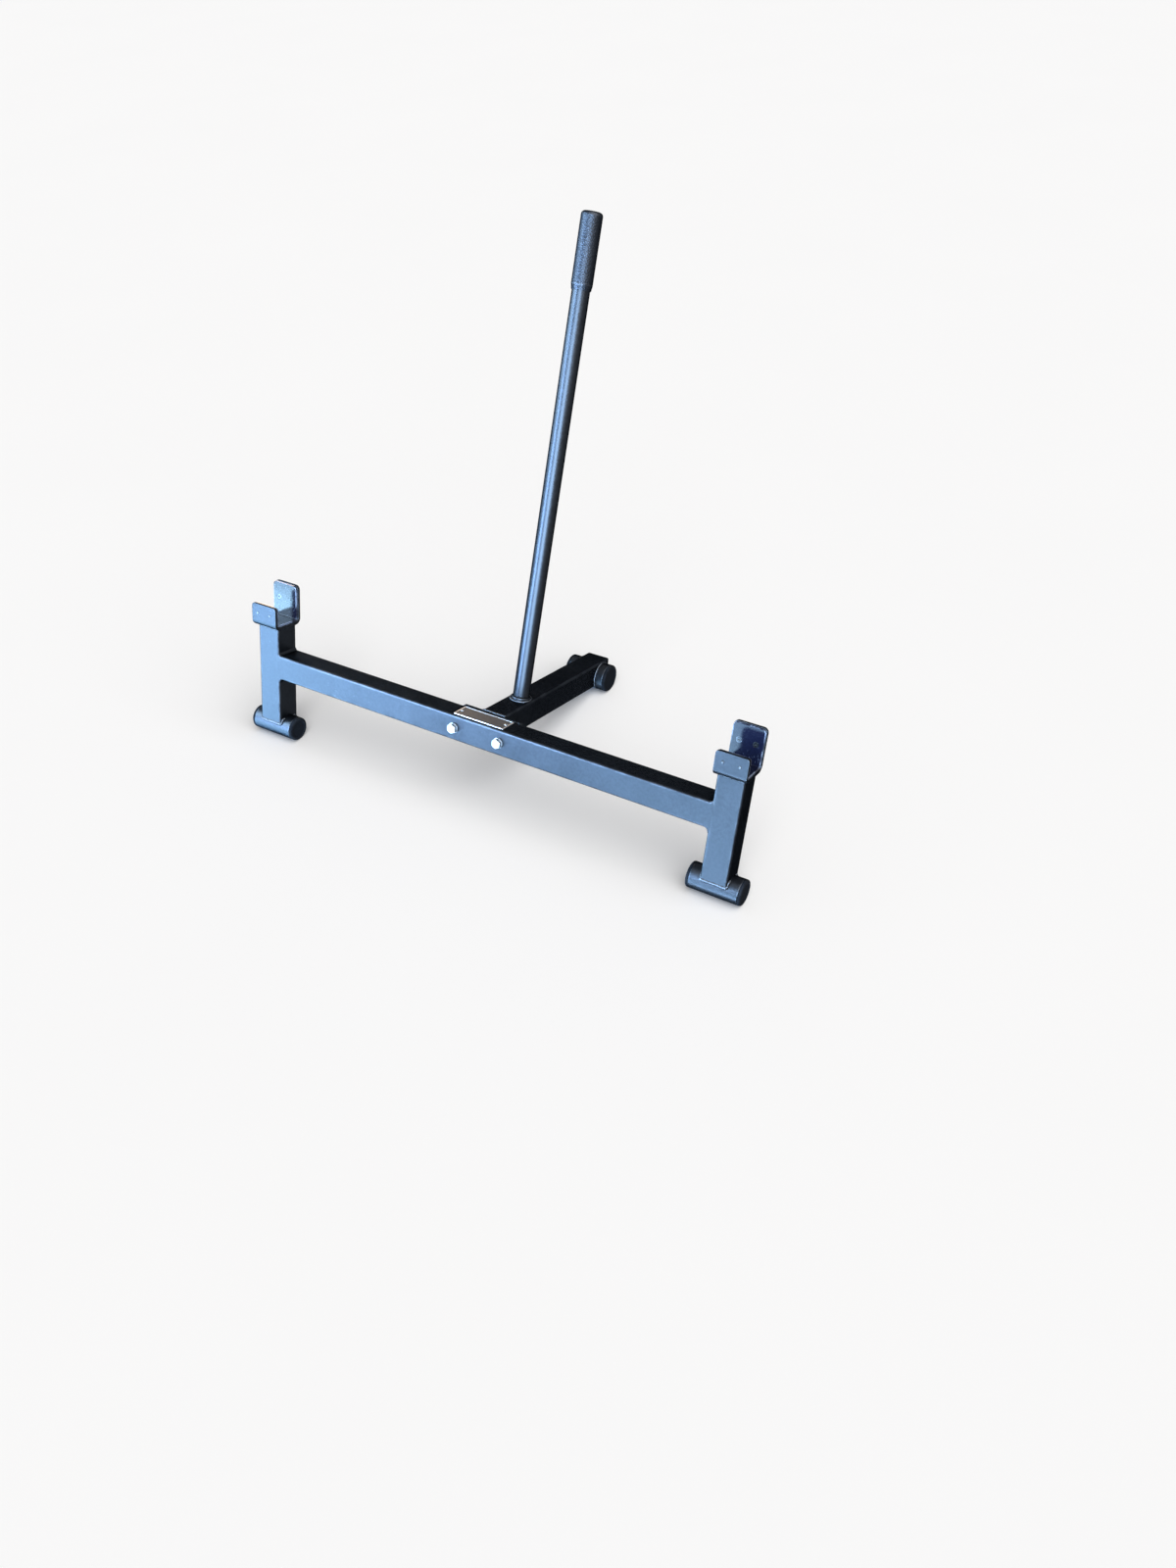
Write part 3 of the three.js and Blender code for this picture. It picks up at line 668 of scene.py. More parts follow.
# A flat bar bent to a U, set in from the bracket's outer faces by an inset and from its edges by a margin. Its
# centre line runs down the lip, round the bends and up the back; across it lies a rectangle with rounded edges,
# which narrows at both ends as a quarter circle takes off the corners.
def channelSkin(thickness, inset=0, margin=0):
    halfWidth, halfThick = cup["width"] / 2 - margin, thickness / 2
    front, rear = cup["front"] + inset + halfThick, cup["rear"] - inset - halfThick
    bottom, bend = cup["bottom"] + inset + halfThick, cup["bend"] - inset - halfThick
    corners = [(front, cup["lipTop"] - margin), (front, bottom), (rear, bottom), (rear, cup["backTop"] - margin)]
    line, _ = filletPath(corners, [0, bend, bend, 0], cup["bendSteps"])
    start, end = line[0], line[-1]
    near = np.concatenate([np.array(cup["endRows"]) * cup["edgeRound"], cup["cornerRows"]])
    frontPart = np.stack([np.full(len(near), start[0]), start[1] - near], axis=-1)
    rearPart = np.stack([np.full(len(near), end[0]), end[1] - near[::-1]], axis=-1)
    line = np.concatenate([frontPart, line[1:-1], rearPart])
    direction = unit(np.gradient(line, axis=0))
    inwards = np.stack([-direction[:, 1], direction[:, 0]], axis=-1)
    reach = np.concatenate([[0], np.cumsum(np.linalg.norm(np.diff(line, axis=0), axis=1))])
    fromRear = reach[-1] - reach

    def narrowed(distance, radius):
        inset = radius - np.minimum(distance, radius)
        return radius - np.sqrt(radius ** 2 - inset ** 2)

    sideInset = narrowed(reach, cup["lipCorner"] - margin) + narrowed(fromRear, cup["backCorner"] - margin)
    faceInset = narrowed(reach, cup["edgeRound"]) + narrowed(fromRear, cup["edgeRound"])
    outline, edge = filletPath(rectangle(halfWidth, halfThick), cup["edgeRound"], cup["edgeSteps"], cup["edgeHold"],
                               closed=True)
    x = outline[:, 0] - np.sign(outline[:, 0]) * sideInset[:, None]
    off = outline[:, 1] * (1 - faceInset[:, None] / halfThick)
    y = line[:, :1] + inwards[:, :1] * off
    z = line[:, 1:] + inwards[:, 1:] * off
    ends = np.maximum(1 - reach / cup["endWear"], 1 - fromRear / cup["endWear"])[:, None]
    return skin(np.stack([x, y, z], axis=-1), np.clip(np.maximum(edge, ends), 0, 1))


screw = {
    "radius": 2.5,
    "headRadius": 5,
    "headHeight": 2.6,
    "headFlat": 2.3,         # radius from which the head's face is round
    "rim": ((-0.5, 0, 0), (-0.12, -0.03, 1), (0, -0.15, 1), (-0.3, -0.5, 0)),   # out of the head, height, wear
    "neck": 0.2,
    "sink": 0.3,
    "tipStand": 0.9,
    "tipChamfer": 0.7,
    "tipHold": 0.3,
    "socketWidth": 3,
    "socketDepth": 1.6,
    "socketFloor": (0.9, 0.15),    # share of the width at the floor, and the rise to the full width
    "socketBevel": 0.12,
    "bevelWear": 0.4,
    "holeFrom": -20,
    "holeTo": 6,
    "steps": 48,
}


# Countersunk screw: a hexagonal socket opens into a round head, whose cone runs down to a plain shank
def screwSkin():
    angle = fullTurn(screw["steps"])
    socket, plain = hexagonRadius(angle, screw["socketWidth"]), np.ones_like(angle)
    head, radius, high, neck = pick(screw, "headRadius radius headHeight neck")
    depth, bevel, wear, (share, rise) = pick(screw, "socketDepth socketBevel bevelWear socketFloor")
    tip = screw["sink"] - cup["liner"] - seam - cup["plate"] - screw["tipStand"]
    shoulder = tip + screw["tipChamfer"]
    rows = [
        (socket * share, -depth, 0), (socket, rise - depth, 0), (socket, -bevel, 0), (socket + bevel, 0, wear),
        (plain * screw["headFlat"], 0, 0), *((plain * (head + out), up, worn) for out, up, worn in screw["rim"]),
        (plain * (radius + neck), -high + neck, 0), (plain * radius, -high - neck, 0),
        (plain * radius, shoulder + screw["tipHold"], 0), (plain * radius, shoulder, 0),
        (plain * (radius - screw["tipChamfer"]), tip, wear),
    ]
    radii, heights, edge = zip(*rows)
    return ringSkin(radii, heights, np.array(edge, float)[:, None])


# What a screw takes out of liner and plate: its own shape with a seam's room all round
def screwHoleSkin():
    wide, narrow = screw["headRadius"] + seam, screw["radius"] + seam
    low, high, sink = screw["holeFrom"], screw["holeTo"], -screw["sink"]
    profile = [(0, low), (narrow, low), (narrow, sink - screw["headHeight"]), (wide, sink), (wide, high), (0, high)]
    return turnedSkin(profile, np.zeros(len(profile)), screw["steps"])


def makeCup(side, x):
    moved = lambda points: inJack(np.asarray(points) + np.array([x, 0, 0]))
    plate, inset = cup["plate"], cup["plate"] + seam
    bracket = addPart(side + "_cup_bracket", [channelSkin(plate)], "coat", moved)
    lining = channelSkin(cup["liner"], inset, cup["linerMargin"])
    liner = addPart(side + "_cup_liner", [lining], "liner", moved)
    faces = (
        ("lip", "y", 1, cup["front"] + plate + seam + cup["liner"], cup["lipScrewHeight"]),
        ("back", "-y", -1, cup["rear"] - plate - seam - cup["liner"], cup["backScrewHeight"]),
    )
    for word, step in sides:
        screwX = x + step * cup["screwHalfPitch"]
        for place, along, facing, face, height in faces:
            for piece in (bracket, liner):
                cutAway(piece, [screwHoleSkin()], laid(along, (screwX, face, height)))
            sunk = (screwX, face - facing * screw["sink"], height)
            addPart("_".join([side, place, "screw", word]), [screwSkin()], "screw", laid(along, sunk))


makeFrontBeam()
for side, direction in sides:
    x = direction * frontFrame["uprightX"]
    makeUpright(side, x)
    makeFoot(side + "_foot", (x, frontFrame["middleY"], frontFrame["footHeight"]), frontFrame)
    makeCup(side, x)
print("front frame and cups made")


namePlate = {
    "width": 108,
    "depth": 39,
    "thickness": 1.5,
    "corner": 2,
    "cornerSteps": 8,        # this and the least corner hold for the flange plate too
    "leastCorner": 0.6,
    "rim": 2.4,
    "recess": 0.4,
    "bottom": 184.3,
    "middleY": 25,
    # outlines from the bottom up as inset, height and wear: counted from the foot, from the top, from the rim's
    # inner side at the top, and from there in the recess
    "footRows": ((0.3, 0, 1), (0.1, 0.05, 1), (0, 0.25, 1)),
    "topRows": ((0, -0.4, 1), (0.12, -0.12, 1), (0.4, 0, 1)),
    "rimRows": ((-0.35, 0, 1), (-0.1, -0.08, 1)),
    "recessRows": ((0.05, 0.05, 0.9), (0.3, 0, 0), (1.2, 0, 0)),
    "rivetHalfPitch": 47.5,
    "rivetHead": 3.2,
    "rivetFoot": 0.2,
    "rivetRise": 1.5,
    "rivetShank": 1.6,
    "rivetLength": 6,
    "rivetSteps": 40,
    "rivetRows": 8,
    "rivetSharpAngle": 50,
}


# Outlines of a rounded rectangle, one above the other, each drawn in by its own inset
def plateSkin(width, depth, corner, levels):
    rows, edges = [], []
    for inset, height, wear in levels:
        radius = max(corner - inset, namePlate["leastCorner"])
        outline, _ = filletPath(rectangle(width / 2 - inset, depth / 2 - inset), radius, namePlate["cornerSteps"],
                                closed=True)
        rows.append(np.column_stack([outline, np.full(len(outline), height)]))
        edges.append(np.full(len(outline), wear))
    return skin(rows, np.stack(edges))


# Adds to the inset and the height of each outline
def counted(rows, inset, height):
    return [(inset + row[0], height + row[1], row[2]) for row in rows]


def makeNamePlate():
    top, rim, recess, bottom = pick(namePlate, "thickness rim recess bottom")
    levels = [*namePlate["footRows"], *counted(namePlate["topRows"], 0, top),
              *counted(namePlate["rimRows"], rim, top), *counted(namePlate["recessRows"], rim, top - recess)]
    shell = plateSkin(namePlate["width"], namePlate["depth"], namePlate["corner"], levels)
    addPart("name_plate", [shell], "plate", laid("z", (0, namePlate["middleY"], bottom)))
    head, shank, low = namePlate["rivetHead"], namePlate["rivetShank"], -namePlate["rivetLength"]
    angle = np.linspace(0, np.pi / 2, namePlate["rivetRows"])
    dome = np.column_stack([head * np.cos(angle), namePlate["rivetRise"] * np.sin(angle)])
    foot = [(0, low), (shank, low), (shank, 0), (head - namePlate["rivetFoot"], 0)]
    profile = np.concatenate([foot, dome])
    rivet = turnedSkin(profile, np.zeros(len(profile)), namePlate["rivetSteps"])
    for word, step in sides:
        seat = (step * namePlate["rivetHalfPitch"], namePlate["middleY"], bottom + top - recess + seam)
        addPart("name_plate_" + word + "_rivet", [rivet], "zinc", laid("z", seat),
                sharpAngle=namePlate["rivetSharpAngle"])


bolt = {
    "radius": 5,
    "halfPitch": 49,
    "hexWidth": 17,
    "faceShare": 0.95,
    "chamfer": 30,
    "bevelRows": (0, 0.15, 0.35, 0.6, 0.85, 1.02, 1.4),   # depths below the free end
    "headHeight": 6.4,
    "headFoot": 0.5,
    "headWear": (1, 1, 1, 0.8, 0.4, 0, 0, 0, 0.6),
    "headY": -2.6,
    "length": 75.5,
    "shankFrom": -2,
    "tip": ((0.8, 0.5), (0, 1.1)),        # back from the end and in from the side
    "threadFrom": 40,
    "threadTo": 74.6,
    "threadPitch": 1.5,
    "threadDepth": 0.85,
    "threadFirst": 0.25,
    "threadRunIn": 1.5,
    "threadRows": 8,                      # in one pitch
    "threadSteps": 36,
    "nutHeight": 8,
    "nutBore": 5.3,
    "nutChamfer": 0.6,
    "nutWear": (1, 1, 0.8, 0.5, 0.2, 0, 0),
    "boreWear": (0.4, 0, 0, 0.4),
    "nutY": 60.9,
    "frontWasherY": -1.3,
    "rearWasherY": 59.6,
    "washerRadius": 10,
    "washerThickness": 2,
    "washerBore": 5.4,
    "washerRounds": (0.2, 0.4, 0.6, 0.3),
    "washerArcSteps": 4,
    "steps": 72,
    "sharpAngle": 25,
}


# A hexagon's radius, cut down near its free end by a cone: whichever of the two is less
def bevelledRadii(depths):
    face = bolt["faceShare"] * bolt["hexWidth"] / 2
    cone = face + np.asarray(depths, float)[:, None] / np.tan(np.radians(bolt["chamfer"]))
    return np.minimum(hexagonRadius(fullTurn(bolt["steps"]), bolt["hexWidth"]), cone)


def boltSkins():
    high, radius, long = pick(bolt, "headHeight radius length")
    depths = np.array([*bolt["bevelRows"], high - bolt["headFoot"], high])
    head = ringSkin(bevelledRadii(depths), depths - high, np.array(bolt["headWear"])[:, None])
    # The thread is a wave of the height less the angle's share of one pitch, cut into the shank
    start, pitch, steps = pick(bolt, "threadFrom threadPitch threadSteps")
    rows = np.arange(start + bolt["threadFirst"], bolt["threadTo"], pitch / bolt["threadRows"])
    height = np.concatenate([[bolt["shankFrom"], start], rows])
    turns = height[:, None] / pitch - fullTurn(steps) / (2 * np.pi)
    wave = np.abs(2 * (turns % 1) - 1)
    begin = np.clip((height - start) / bolt["threadRunIn"], 0, 1)[:, None]
    back, inset = np.array(bolt["tip"]).T
    tip = np.repeat(radius - inset[:, None], steps, axis=1)
    radii = np.concatenate([radius - begin * bolt["threadDepth"] * wave, tip])
    return [head, ringSkin(radii, np.concatenate([height, long - back]))]


def nutSkin():
    high, bore, chamfer, wear = pick(bolt, "nutHeight nutBore nutChamfer nutWear")
    depths = np.array(bolt["bevelRows"])
    wall = np.array([[bore + chamfer], [bore], [bore], [bore + chamfer]])
    radii = [bevelledRadii(depths), bevelledRadii(depths[::-1]), np.repeat(wall, bolt["steps"], axis=1)]
    heights = np.concatenate([high - depths, depths[::-1], [0, chamfer, high - chamfer, high]])
    edge = np.array([*wear, *wear[::-1], *bolt["boreWear"]])[:, None]
    return ringSkin(np.concatenate(radii), heights, edge, joined=True)


def washerSkin():
    thick, bore, radius = pick(bolt, "washerThickness washerBore washerRadius")
    half = thick / 2
    corners = [(bore, -half), (radius, -half), (radius, half), (bore, half)]
    profile, edge = filletPath(corners, bolt["washerRounds"], bolt["washerArcSteps"], closed=True)
    return turnedSkin(profile, edge, bolt["steps"], joined=True)


def makeBolts():
    for word, step in sides:
        rows = [
            ("_bolt", boltSkins(), bolt["headY"]),
            ("_front_washer", [washerSkin()], bolt["frontWasherY"]),
            ("_rear_washer", [washerSkin()], bolt["rearWasherY"]),
            ("_nut", [nutSkin()], bolt["nutY"]),
        ]
        for node, shells, y in rows:
            place = laid("y", (step * bolt["halfPitch"], y, tube["beamHeight"]))
            addPart(word + node, shells, "zinc", place, sharpAngle=bolt["sharpAngle"])


rearArm = {
    "flangeWidth": 130,
    "flangeThickness": 8,
    "flangeCorner": 5,
    "flangeRows": ((1.8, 0, 0), (0.8, 0, 1), (0.25, 0.25, 1), (0, 0.8, 1), (0, 1.6, 0)),   # inset, height, wear
    "flangeFront": 50.3,
    "beamFront": 58.6,
    "beamEnd": 461,
    "beamStations": 12,
    "footRadius": 28.45,
    "footWall": 3.2,
    "footHalf": 42,
    "footY": 434,
    "footHeight": 152,
    "cutHalf": 60,           # the saddle and the box below it are cut this far to each side
    "cutDown": 50,
    "cutBack": 20,
    "cutSteps": 128,
}


def makeRearArm():
    rows, thick, start, end = pick(rearArm, "flangeRows flangeThickness beamFront beamEnd")
    beamZ = tube["beamHeight"]
    levels = [*rows, *((inset, thick - height, wear) for inset, height, wear in rows[::-1])]
    flange = plateSkin(rearArm["flangeWidth"], tube["side"], rearArm["flangeCorner"], levels)
    addPart("flange_plate", [flange], "coat", laid("y", (0, rearArm["flangeFront"], beamZ)))
    across, along, wear = squareTubeRows(flatEnd(start), flatEnd(end), rearArm["beamStations"])
    rows = np.stack([across[..., 0], along, across[..., 1] + beamZ], axis=-1)
    beam = addPart("rear_beam", [skin(rows, wear, joined=True)], "coat")
    centre = (0, rearArm["footY"], rearArm["footHeight"])
    radius, half = rearArm["footRadius"] + seam, rearArm["cutHalf"]
    saddle = turnedSkin([(0, -half), (radius, -half), (radius, half), (0, half)], np.zeros(4), rearArm["cutSteps"])
    cutAway(beam, [saddle], laid("x", centre))
    near, far = centre[1], end + rearArm["cutBack"]
    box = [[(-half, near, z), (half, near, z), (half, far, z), (-half, far, z)]
           for z in (centre[2] - rearArm["cutDown"], centre[2])]
    cutAway(beam, [skin(box)])
    makeFoot("rear_foot", centre, rearArm)


handle = {
    "radius": 15.9,
    "wall": 2,
    "from": 5.3,
    "to": 845.7,
    "endRound": 0.5,
    "collarRadius": 19.5,
    "collarLow": -2,
    "collarRise": 5,
    "collarChamfer": 2,
    "neckRound": 0.6,
    "pinRadius": 13.4,
    "pinTop": 85,
    "pinChamfer": 3,
    "spigotSteps": 72,
    "gripFrom": 728,
    "gripLength": 122,
    "gripRadius": 18.7,
    "gripBore": 16.2,
    "gripEnd": 4,
    "gripMouth": 1.6,        # taken off the radius at the open end
    "gripMouthLength": 9,
    "gripRounds": (0, 0.4, 0.1, 0.25, 12, 6.2, 0),   # at the half section's corners, from inside to the top
    "gripArcSteps": 8,
    "gripHold": 1.2,
}


# The spigot's foot is cut on the beam's top, which lies at an angle: its height follows the sine of the turn
def spigotSkin():
    steps, collar, rise, pin, top = pick(handle, "spigotSteps collarRadius collarRise pinRadius pinTop")
    foot = (seam + collar * np.sin(fullTurn(steps)) * np.sin(handleLean)) / np.cos(handleLean)
    corners = [(collar, handle["collarLow"]), (collar, rise), (pin, rise), (pin, top), (0, top)]
    profile, edge = filletPath(corners, [0, handle["collarChamfer"], handle["neckRound"], handle["pinChamfer"], 0])
    radii, heights = (np.repeat(profile[1:-1, i:i + 1], steps, axis=1) for i in (0, 1))
    radii, heights = np.concatenate([np.full((1, steps), collar), radii]), np.concatenate([foot[None], heights])
    return ringSkin(radii, heights, np.concatenate([[0], edge[1:-1]])[:, None])


def gripSkin():
    radius, bore, long = pick(handle, "gripRadius gripBore gripLength")
    inside = long - handle["gripEnd"]
    corners = [(0, inside), (bore, inside), (bore, 0), (radius - handle["gripMouth"], 0),
               (radius, handle["gripMouthLength"]), (radius, long), (0, long)]
    profile, edge = filletPath(corners, handle["gripRounds"], handle["gripArcSteps"], handle["gripHold"])
    return turnedSkin(profile, edge, tube["roundSteps"])


def makeHandle():
    shaft = roundTubeSkin(*pick(handle, "radius wall from to endRound"))
    lifted = lambda points: onHandle(np.asarray(points) + np.array([0, 0, handle["gripFrom"]]))
    addPart("handle_spigot", [spigotSkin()], "coat", onHandle)
    addPart("handle_tube", [shaft], "coat", onHandle, "handle")
    addPart("handle_grip", [gripSkin()], "grip", lifted, "handle")


makeNamePlate()
makeBolts()
makeRearArm()
makeHandle()
print("name plate, rear arm and handle made")


joint = {
    "above": 5,          # radius of the fillet on the beam's top
    "below": 9,          # and under the beam
    "reachIn": 4.1,      # how far it covers the upright's rounded corner
    "inRows": (0.25, 0.5, 0.75, 0.92, 1),   # shares of that
    "start": 1,          # how far before the fillet the skin begins
    "fade": 0.8,         # it rises out of the tube over this length
    "proud": 0.1,
    "steps": 10,
}


# The welds of beam and upright are ground flush. The beam's outline is stacked along x, and near the upright
# it grows up and down by a hollow fillet: the radius less the root of radius squared less the way left squared.
def jointSkin(direction):
    outline, edge = squareOutline(tube["side"], tube["cornerRadius"], tube["flatHold"])
    share = np.linspace(0, 1, joint["steps"] + 1)
    out = joint["below"] * (1 - share ** 2)
    into = -joint["reachIn"] * np.array(joint["inRows"])
    reach = np.concatenate([[joint["below"] + joint["start"]], out, into])

    def grown(radius):
        left = np.clip(radius - reach, 0, radius)
        hollow = radius - np.sqrt(radius ** 2 - left ** 2)
        return hollow * np.clip(1 + reach / joint["reachIn"], 0, 1)

    fade = np.clip(np.minimum(reach[0] - reach, reach - reach[-1]) / joint["fade"], 0, 1)
    proud = (2 * fade - 1) * joint["proud"]
    high = outline[:, 1] > 0
    y = outline[:, 0] * (1 + proud[:, None] / (tube["side"] / 2)) + frontFrame["middleY"]
    z = outline[:, 1] + np.where(high, grown(joint["above"])[:, None], -grown(joint["below"])[:, None])
    face = frontFrame["uprightX"] - tube["side"] / 2
    x = np.broadcast_to(direction * (face - reach)[:, None], y.shape)
    return skin(np.stack([x, y, z + tube["beamHeight"]], axis=-1), edge)


def makeJoints():
    for side, direction in sides:
        addPiece(side + "BeamJoint", [jointSkin(direction)], "coat", "frame")


weld = {
    "footRadius": 3.2,
    "cupRadius": 2.1,
    "rearRadius": 2.1,
    "ripple": 2.1,       # length of one ripple along the bead
    "rippleDepth": 0.16,
    "wander": 0.22,      # how far the bead strays from its line
    "waves": ((7, 0.8, 1), (17, 2.1, 0.6)),   # of the wander: number along the bead, start and share
    "swell": (11, 1.3, 0.07),                 # of the radius, in the same order
    "around": 12,        # points round the bead
    "samples": 7,        # points along one ripple
    "leastRipples": 4,
    "leastEnd": 0.02,    # of the radius, where an open bead ends
    "ahead": 3,          # samples to each side that give the bead's direction
    "sharpAngle": 70,
    "inset": 0.3,        # how far the beads' line lies inside the tube's outline
    "hold": 4,
    "footDepth": 0.955,  # share of the tube's depth that the foot's bead goes round
    "footProud": 0.6,
    "shoulder": 10.6,    # the foot's bead stays this high above the foot's axis
    "cupDrop": 0.4,
    "flangeDrop": 0.15,
    "saddleProud": 0.4,
    "saddleFrom": 0.36,  # angle on the rear foot at which its bead begins
    "saddleInset": 0.2,
    "saddleSamples": 60,
    "underInset": 2,
    "underSamples": 20,
    "collarProud": 0.6,
    "collarRise": 0.3,
    "collarSamples": 72,
}


# A weld bead: a round section carried along a line, its radius rising and falling once a ripple as the root
# of a half sine, and its centre straying by two slow sines. Outwards is the way the bead faces at each point.
def beadSkin(line, outwards, radius, closed=True):
    line, outwards = np.asarray(line, float), np.asarray(outwards, float)
    if closed:
        line, outwards = np.concatenate([line, line[:1]]), np.concatenate([outwards, outwards[:1]])
    reach = np.concatenate([[0], np.cumsum(np.linalg.norm(np.diff(line, axis=0), axis=1))])
    ripples = max(int(round(reach[-1] / weld["ripple"])), weld["leastRipples"])
    at = np.linspace(0, reach[-1], ripples * weld["samples"] + 1)
    if closed:
        at = at[:-1]
    share = at / reach[-1]
    centre, facing = (np.stack([np.interp(at, reach, column) for column in path.T], axis=-1)
                      for path in (line, outwards))
    facing = unit(facing)
    if closed:
        ahead = unit(np.roll(centre, -weld["ahead"], axis=0) - np.roll(centre, weld["ahead"], axis=0))
    else:
        ahead = unit(np.gradient(centre, axis=0))
    across = unit(np.cross(ahead, facing))
    facing = unit(np.cross(across, ahead))
    phase = 2 * np.pi * share
    stray = weld["wander"] * sum(height * np.sin(count * phase + start) for count, start, height in weld["waves"])
    swell = 1 - weld["rippleDepth"] * (1 - np.sqrt(np.abs(np.sin(np.pi * ripples * share))))
    count, start, height = weld["swell"]
    swell = swell * (1 + height * np.sin(count * phase + start))
    if not closed:
        ending = np.clip(np.minimum(at, reach[-1] - at) / radius, weld["leastEnd"], 1)
        swell = swell * np.sqrt(np.clip(1 - (1 - ending) ** 2, 0, 1))
    turn = fullTurn(weld["around"])
    ring = across[:, None] * np.cos(turn)[None, :, None] + facing[:, None] * np.sin(turn)[None, :, None]
    rows = (centre + across * stray[:, None])[:, None] + ring * (radius * swell)[:, None, None]
    return skin(rows, 0.0, joined=closed)


def outlineNormals(outline):
    ahead = unit(np.roll(outline, -1, axis=0) - np.roll(outline, 1, axis=0))
    return np.stack([ahead[:, 1], -ahead[:, 0]], axis=-1)


def makeWelds():
    side = tube["side"]
    outline, _ = squareOutline(side - 2 * weld["inset"], tube["cornerRadius"], weld["hold"])
    normals, flat = outlineNormals(outline), np.zeros(len(outline))
    outwards = np.column_stack([normals, flat])
    for word, direction in sides:
        x, y = direction * frontFrame["uprightX"], frontFrame["middleY"]
        # Round the foot of the upright, down over the round tube's shoulders
        drawn = outline * np.array([1.0, weld["footDepth"]])
        radius = frontFrame["footRadius"] + weld["footProud"]
        rise = np.sqrt(np.maximum(radius ** 2 - drawn[:, 1] ** 2, weld["shoulder"] ** 2))
        line = np.column_stack([drawn[:, 0] + x, drawn[:, 1] + y, frontFrame["footHeight"] + rise])
        foot = beadSkin(line, outwards, weld["footRadius"])
        # Under the cup's plate
        top = flat + frontFrame["uprightTop"] - weld["cupDrop"]
        cupBead = beadSkin(np.column_stack([outline[:, 0] + x, outline[:, 1] + y, top]), outwards, weld["cupRadius"])
        addPiece(word + "FrontWelds", [foot, cupBead], "weld", "frame", sharpAngle=weld["sharpAngle"])
    # Rear beam to flange
    line = np.column_stack([outline[:, 0], flat + rearArm["beamFront"] - weld["flangeDrop"],
                            outline[:, 1] + tube["beamHeight"]])
    flange = beadSkin(line, np.column_stack([normals[:, 0], flat, normals[:, 1]]), weld["rearRadius"])
    # Rear beam to round foot: over one shoulder, under the beam and over the other
    many, few = pick(weld, "saddleSamples underSamples")
    radius = rearArm["footRadius"] + weld["saddleProud"]
    start = np.arcsin((tube["beamHeight"] - side / 2 - rearArm["footHeight"]) / radius)
    angle = np.linspace(weld["saddleFrom"], np.pi - start, many)
    arc = np.column_stack([rearArm["footY"] + radius * np.cos(angle), rearArm["footHeight"] + radius * np.sin(angle)])
    half = side / 2 - weld["saddleInset"]
    across = np.linspace(-half + weld["underInset"], half - weld["underInset"], few)
    line = np.concatenate([np.column_stack([np.full(many, -half), arc]),
                           np.column_stack([across, np.tile(arc[-1], (few, 1))]),
                           np.column_stack([np.full(many, half), arc[::-1]])])
    facing = np.repeat([[-1.0, 0, 0], [0, 0, -1.0], [1.0, 0, 0]], [many, few, many], axis=0)
    foot = beadSkin(line, facing, weld["rearRadius"], closed=False)
    # Collar to rear beam: a ring on the beam's top
    angle = fullTurn(weld["collarSamples"])
    ring = np.column_stack([np.cos(angle), np.sin(angle), np.zeros(len(angle))])
    centre = np.array(jack["handleFoot"]) + np.array([0, 0, weld["collarRise"]])
    collar = beadSkin(centre + (handle["collarRadius"] + weld["collarProud"]) * ring, ring, weld["rearRadius"])
    addPiece("rearWelds", [flange, foot, collar], "weld", "frame", sharpAngle=weld["sharpAngle"])


makeJoints()
makeWelds()
print("joints and welds made")


studio = {
    "floorSize": 200,
    "floorColor": (0.95, 0.95, 0.95, 1),
    "floorShade": 0.985,     # the floor's colour is multiplied by this in its faint clouds
    "floorCloud": (1.5, 3.0),
    "skyColor": (0.97, 0.98, 1.0, 1),
    "skyLevel": 0.30,
    "ceiling": {"from": (0.55, -0.25, 0.80), "place": (0, 0, 3), "width": 80, "power": 2.80,
                "color": (1.0, 0.99, 0.98)},
    # soft boxes stand in a ring round the jack, each at a bearing counted from the front to the left; some go
    # down below the floor, which neither takes their light nor blocks it
    "ring": 3.4,
    "softBoxes": {
        "left": {"bearing": 50, "low": -2.6, "high": 0, "width": 1.2, "power": 190, "color": (0.39, 0.69, 0.97)},
        "side": {"bearing": 74, "low": 0.9, "high": 3, "width": 1.4, "power": 125, "color": (0.50, 0.70, 0.90)},
        "high": {"bearing": 48, "low": 1.5, "high": 3.2, "width": 1.7, "power": 150, "color": (0.46, 0.68, 0.90)},
        "front": {"bearing": 31, "low": 0, "high": 2, "width": 1.2, "power": 262, "color": (0.38, 0.61, 1.0)},
        "low": {"bearing": 10, "low": -2, "high": 0, "width": 1.2, "power": 56, "color": (0.38, 0.66, 0.96)},
        "right": {"bearing": -20, "low": 0.3, "high": 2.8, "width": 2.3, "power": 365, "color": (0.47, 0.69, 0.96)},
        "foot": {"bearing": -6, "low": -2.6, "high": -1.3, "width": 1.8, "power": 150, "color": (0.46, 0.69, 1.0)},
        "back": {"bearing": 130, "low": 0, "high": 2, "width": 1.2, "power": 54, "color": (1.0, 0.72, 0.48)},
    },
}


def makeFloor():
    half = studio["floorSize"] / 2
    mesh = bpy.data.meshes.new("floor")
    mesh.from_pydata([(-half, -half, 0), (half, -half, 0), (half, half, 0), (-half, half, 0)], [], [(0, 1, 2, 3)])
    floor = newObject("floor", mesh)
    material, tree, shader, place = newMaterial("paleFloor")
    cloud, pale = noiseNode(tree, place, *studio["floorCloud"]), studio["floorColor"]
    tree.links.new(mixColor(tree, cloud, scaled(pale, studio["floorShade"]), pale), shader.inputs["Base Color"])
    shader.inputs["Roughness"].default_value = 0.9
    shader.inputs["Specular IOR Level"].default_value = 0.0
    mesh.materials.append(material)
    floor.visible_glossy = False
    return floor


def stand(holder, place, axes):
    holder.matrix_world = Matrix.Translation(place) @ Matrix(np.column_stack(axes).tolist()).to_4x4()


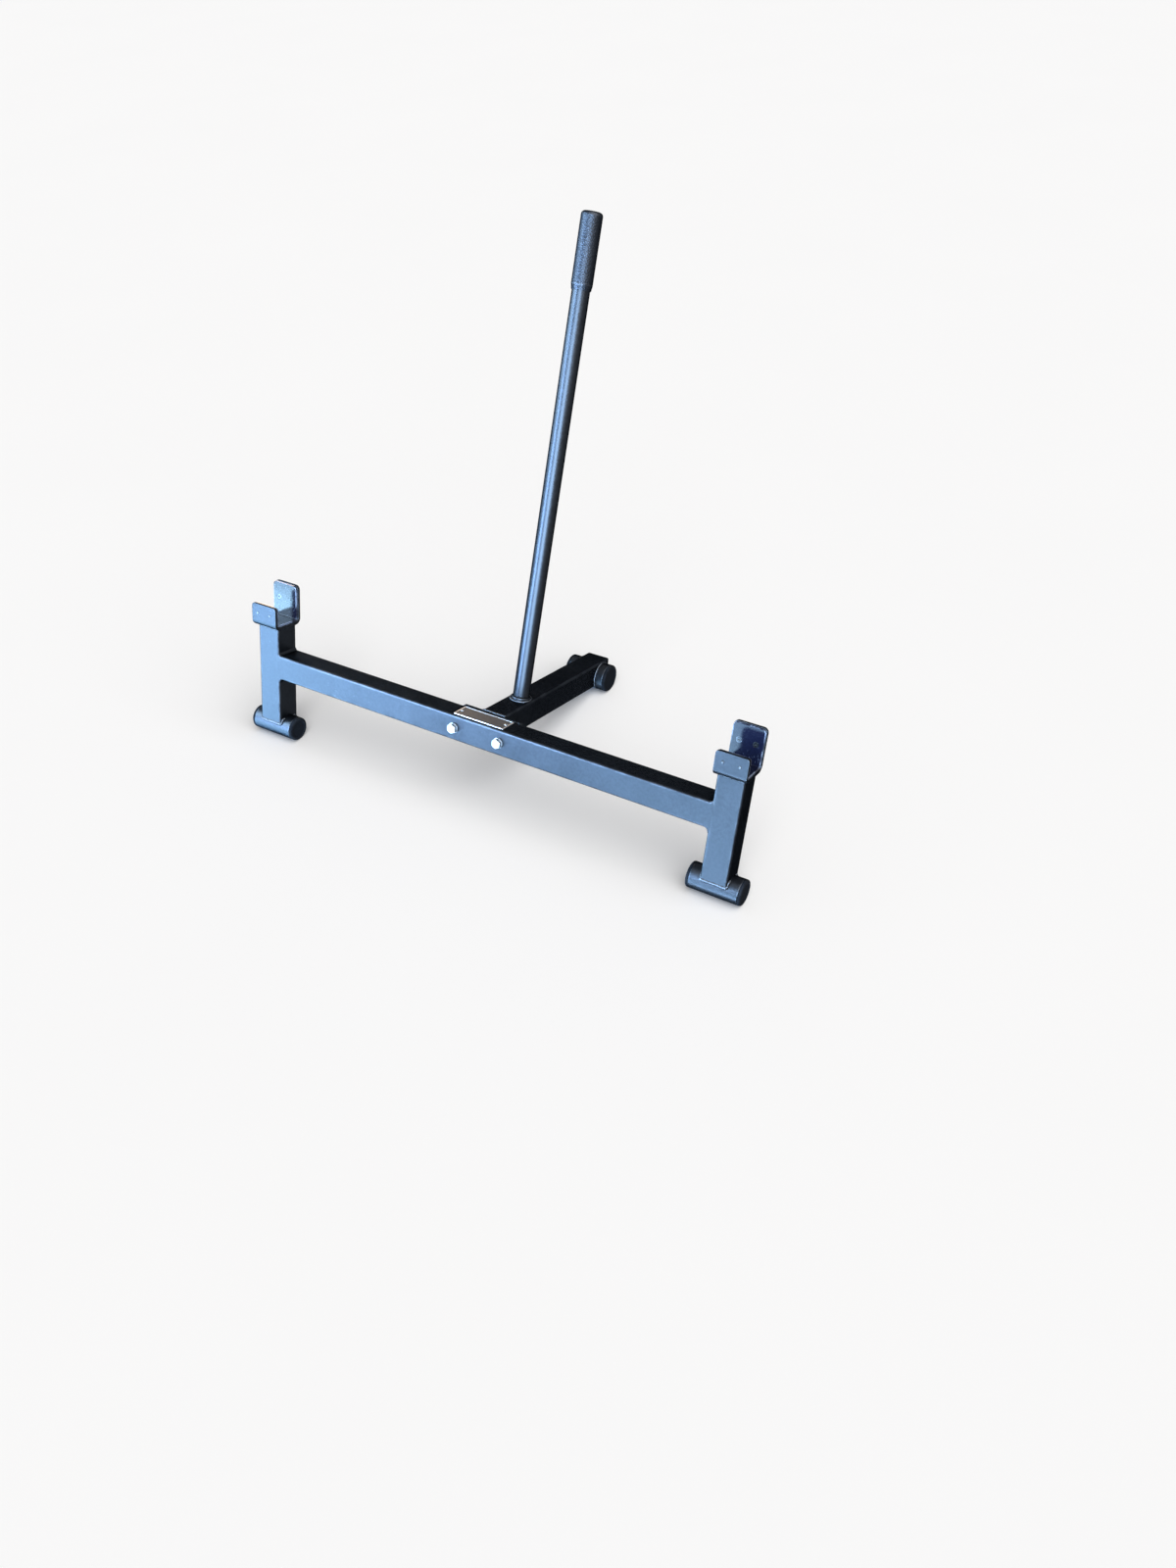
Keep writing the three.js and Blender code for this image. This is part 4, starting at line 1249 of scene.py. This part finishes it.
def newLamp(name, kind, power, color, place, towards):
    lamp = bpy.data.lights.new(name, kind)
    lamp.energy, lamp.color = power, color
    holder = newObject(name, lamp)
    holder.visible_camera = False
    back = -unit(towards)
    right = unit(np.cross([0, 0, 1], back))
    stand(holder, place, [right, np.cross(back, right), back])
    return holder, lamp


def makeLight(floor):
    world = bpy.data.worlds.new("studioWorld")
    bpy.context.scene.world = world
    world.use_nodes = True
    background = world.node_tree.nodes["Background"]
    background.inputs["Color"].default_value = studio["skyColor"]
    background.inputs["Strength"].default_value = studio["skyLevel"]
    ceiling = studio["ceiling"]
    holder, lamp = newLamp("ceilingLight", "SUN", *pick(ceiling, "power color place"), -np.array(ceiling["from"]))
    lamp.angle = np.radians(ceiling["width"])
    flagged = bpy.data.collections.new("withoutFloor")
    flagged.objects.link(floor)
    flagged.collection_objects[0].light_linking.link_state = "EXCLUDE"
    for name, box in studio["softBoxes"].items():
        bearing = np.radians(box["bearing"])
        outwards = np.array([-np.sin(bearing), -np.cos(bearing), 0])
        place = studio["ring"] * outwards + np.array([0, 0, (box["high"] + box["low"]) / 2])
        holder, lamp = newLamp(name + "SoftBox", "AREA", box["power"], box["color"], place, -outwards)
        lamp.shape = "RECTANGLE"
        lamp.size, lamp.size_y = box["width"], box["high"] - box["low"]
        holder.light_linking.receiver_collection = flagged
        holder.light_linking.blocker_collection = flagged


view = {
    "place": (1.0353, -1.5163, 1.4815),
    "azimuth": 32.019,
    "elevation": 41.713,
    "roll": -3.425,
    "lens": 26.455,
    "sensor": 36,
    "clip": (0.05, 200),
}


def makeCamera():
    azimuth, elevation, roll = np.radians(pick(view, "azimuth elevation roll"))
    level = np.array([np.cos(azimuth), np.sin(azimuth), 0])
    steep = np.array([-np.sin(azimuth) * np.sin(elevation), np.cos(azimuth) * np.sin(elevation), np.cos(elevation)])
    back = np.cross(level, steep)
    right = np.cos(roll) * level + np.sin(roll) * steep
    camera = bpy.data.cameras.new("camera")
    camera.lens = view["lens"]
    camera.sensor_fit = "VERTICAL"
    camera.sensor_height = view["sensor"]
    camera.clip_start, camera.clip_end = view["clip"]
    holder = newObject("camera", camera)
    stand(holder, view["place"], [right, np.cross(back, right), back])
    bpy.context.scene.camera = holder


makeLight(makeFloor())
makeCamera()
bpy.context.scene.view_settings.view_transform = "Standard"
print("floor, light and camera made")
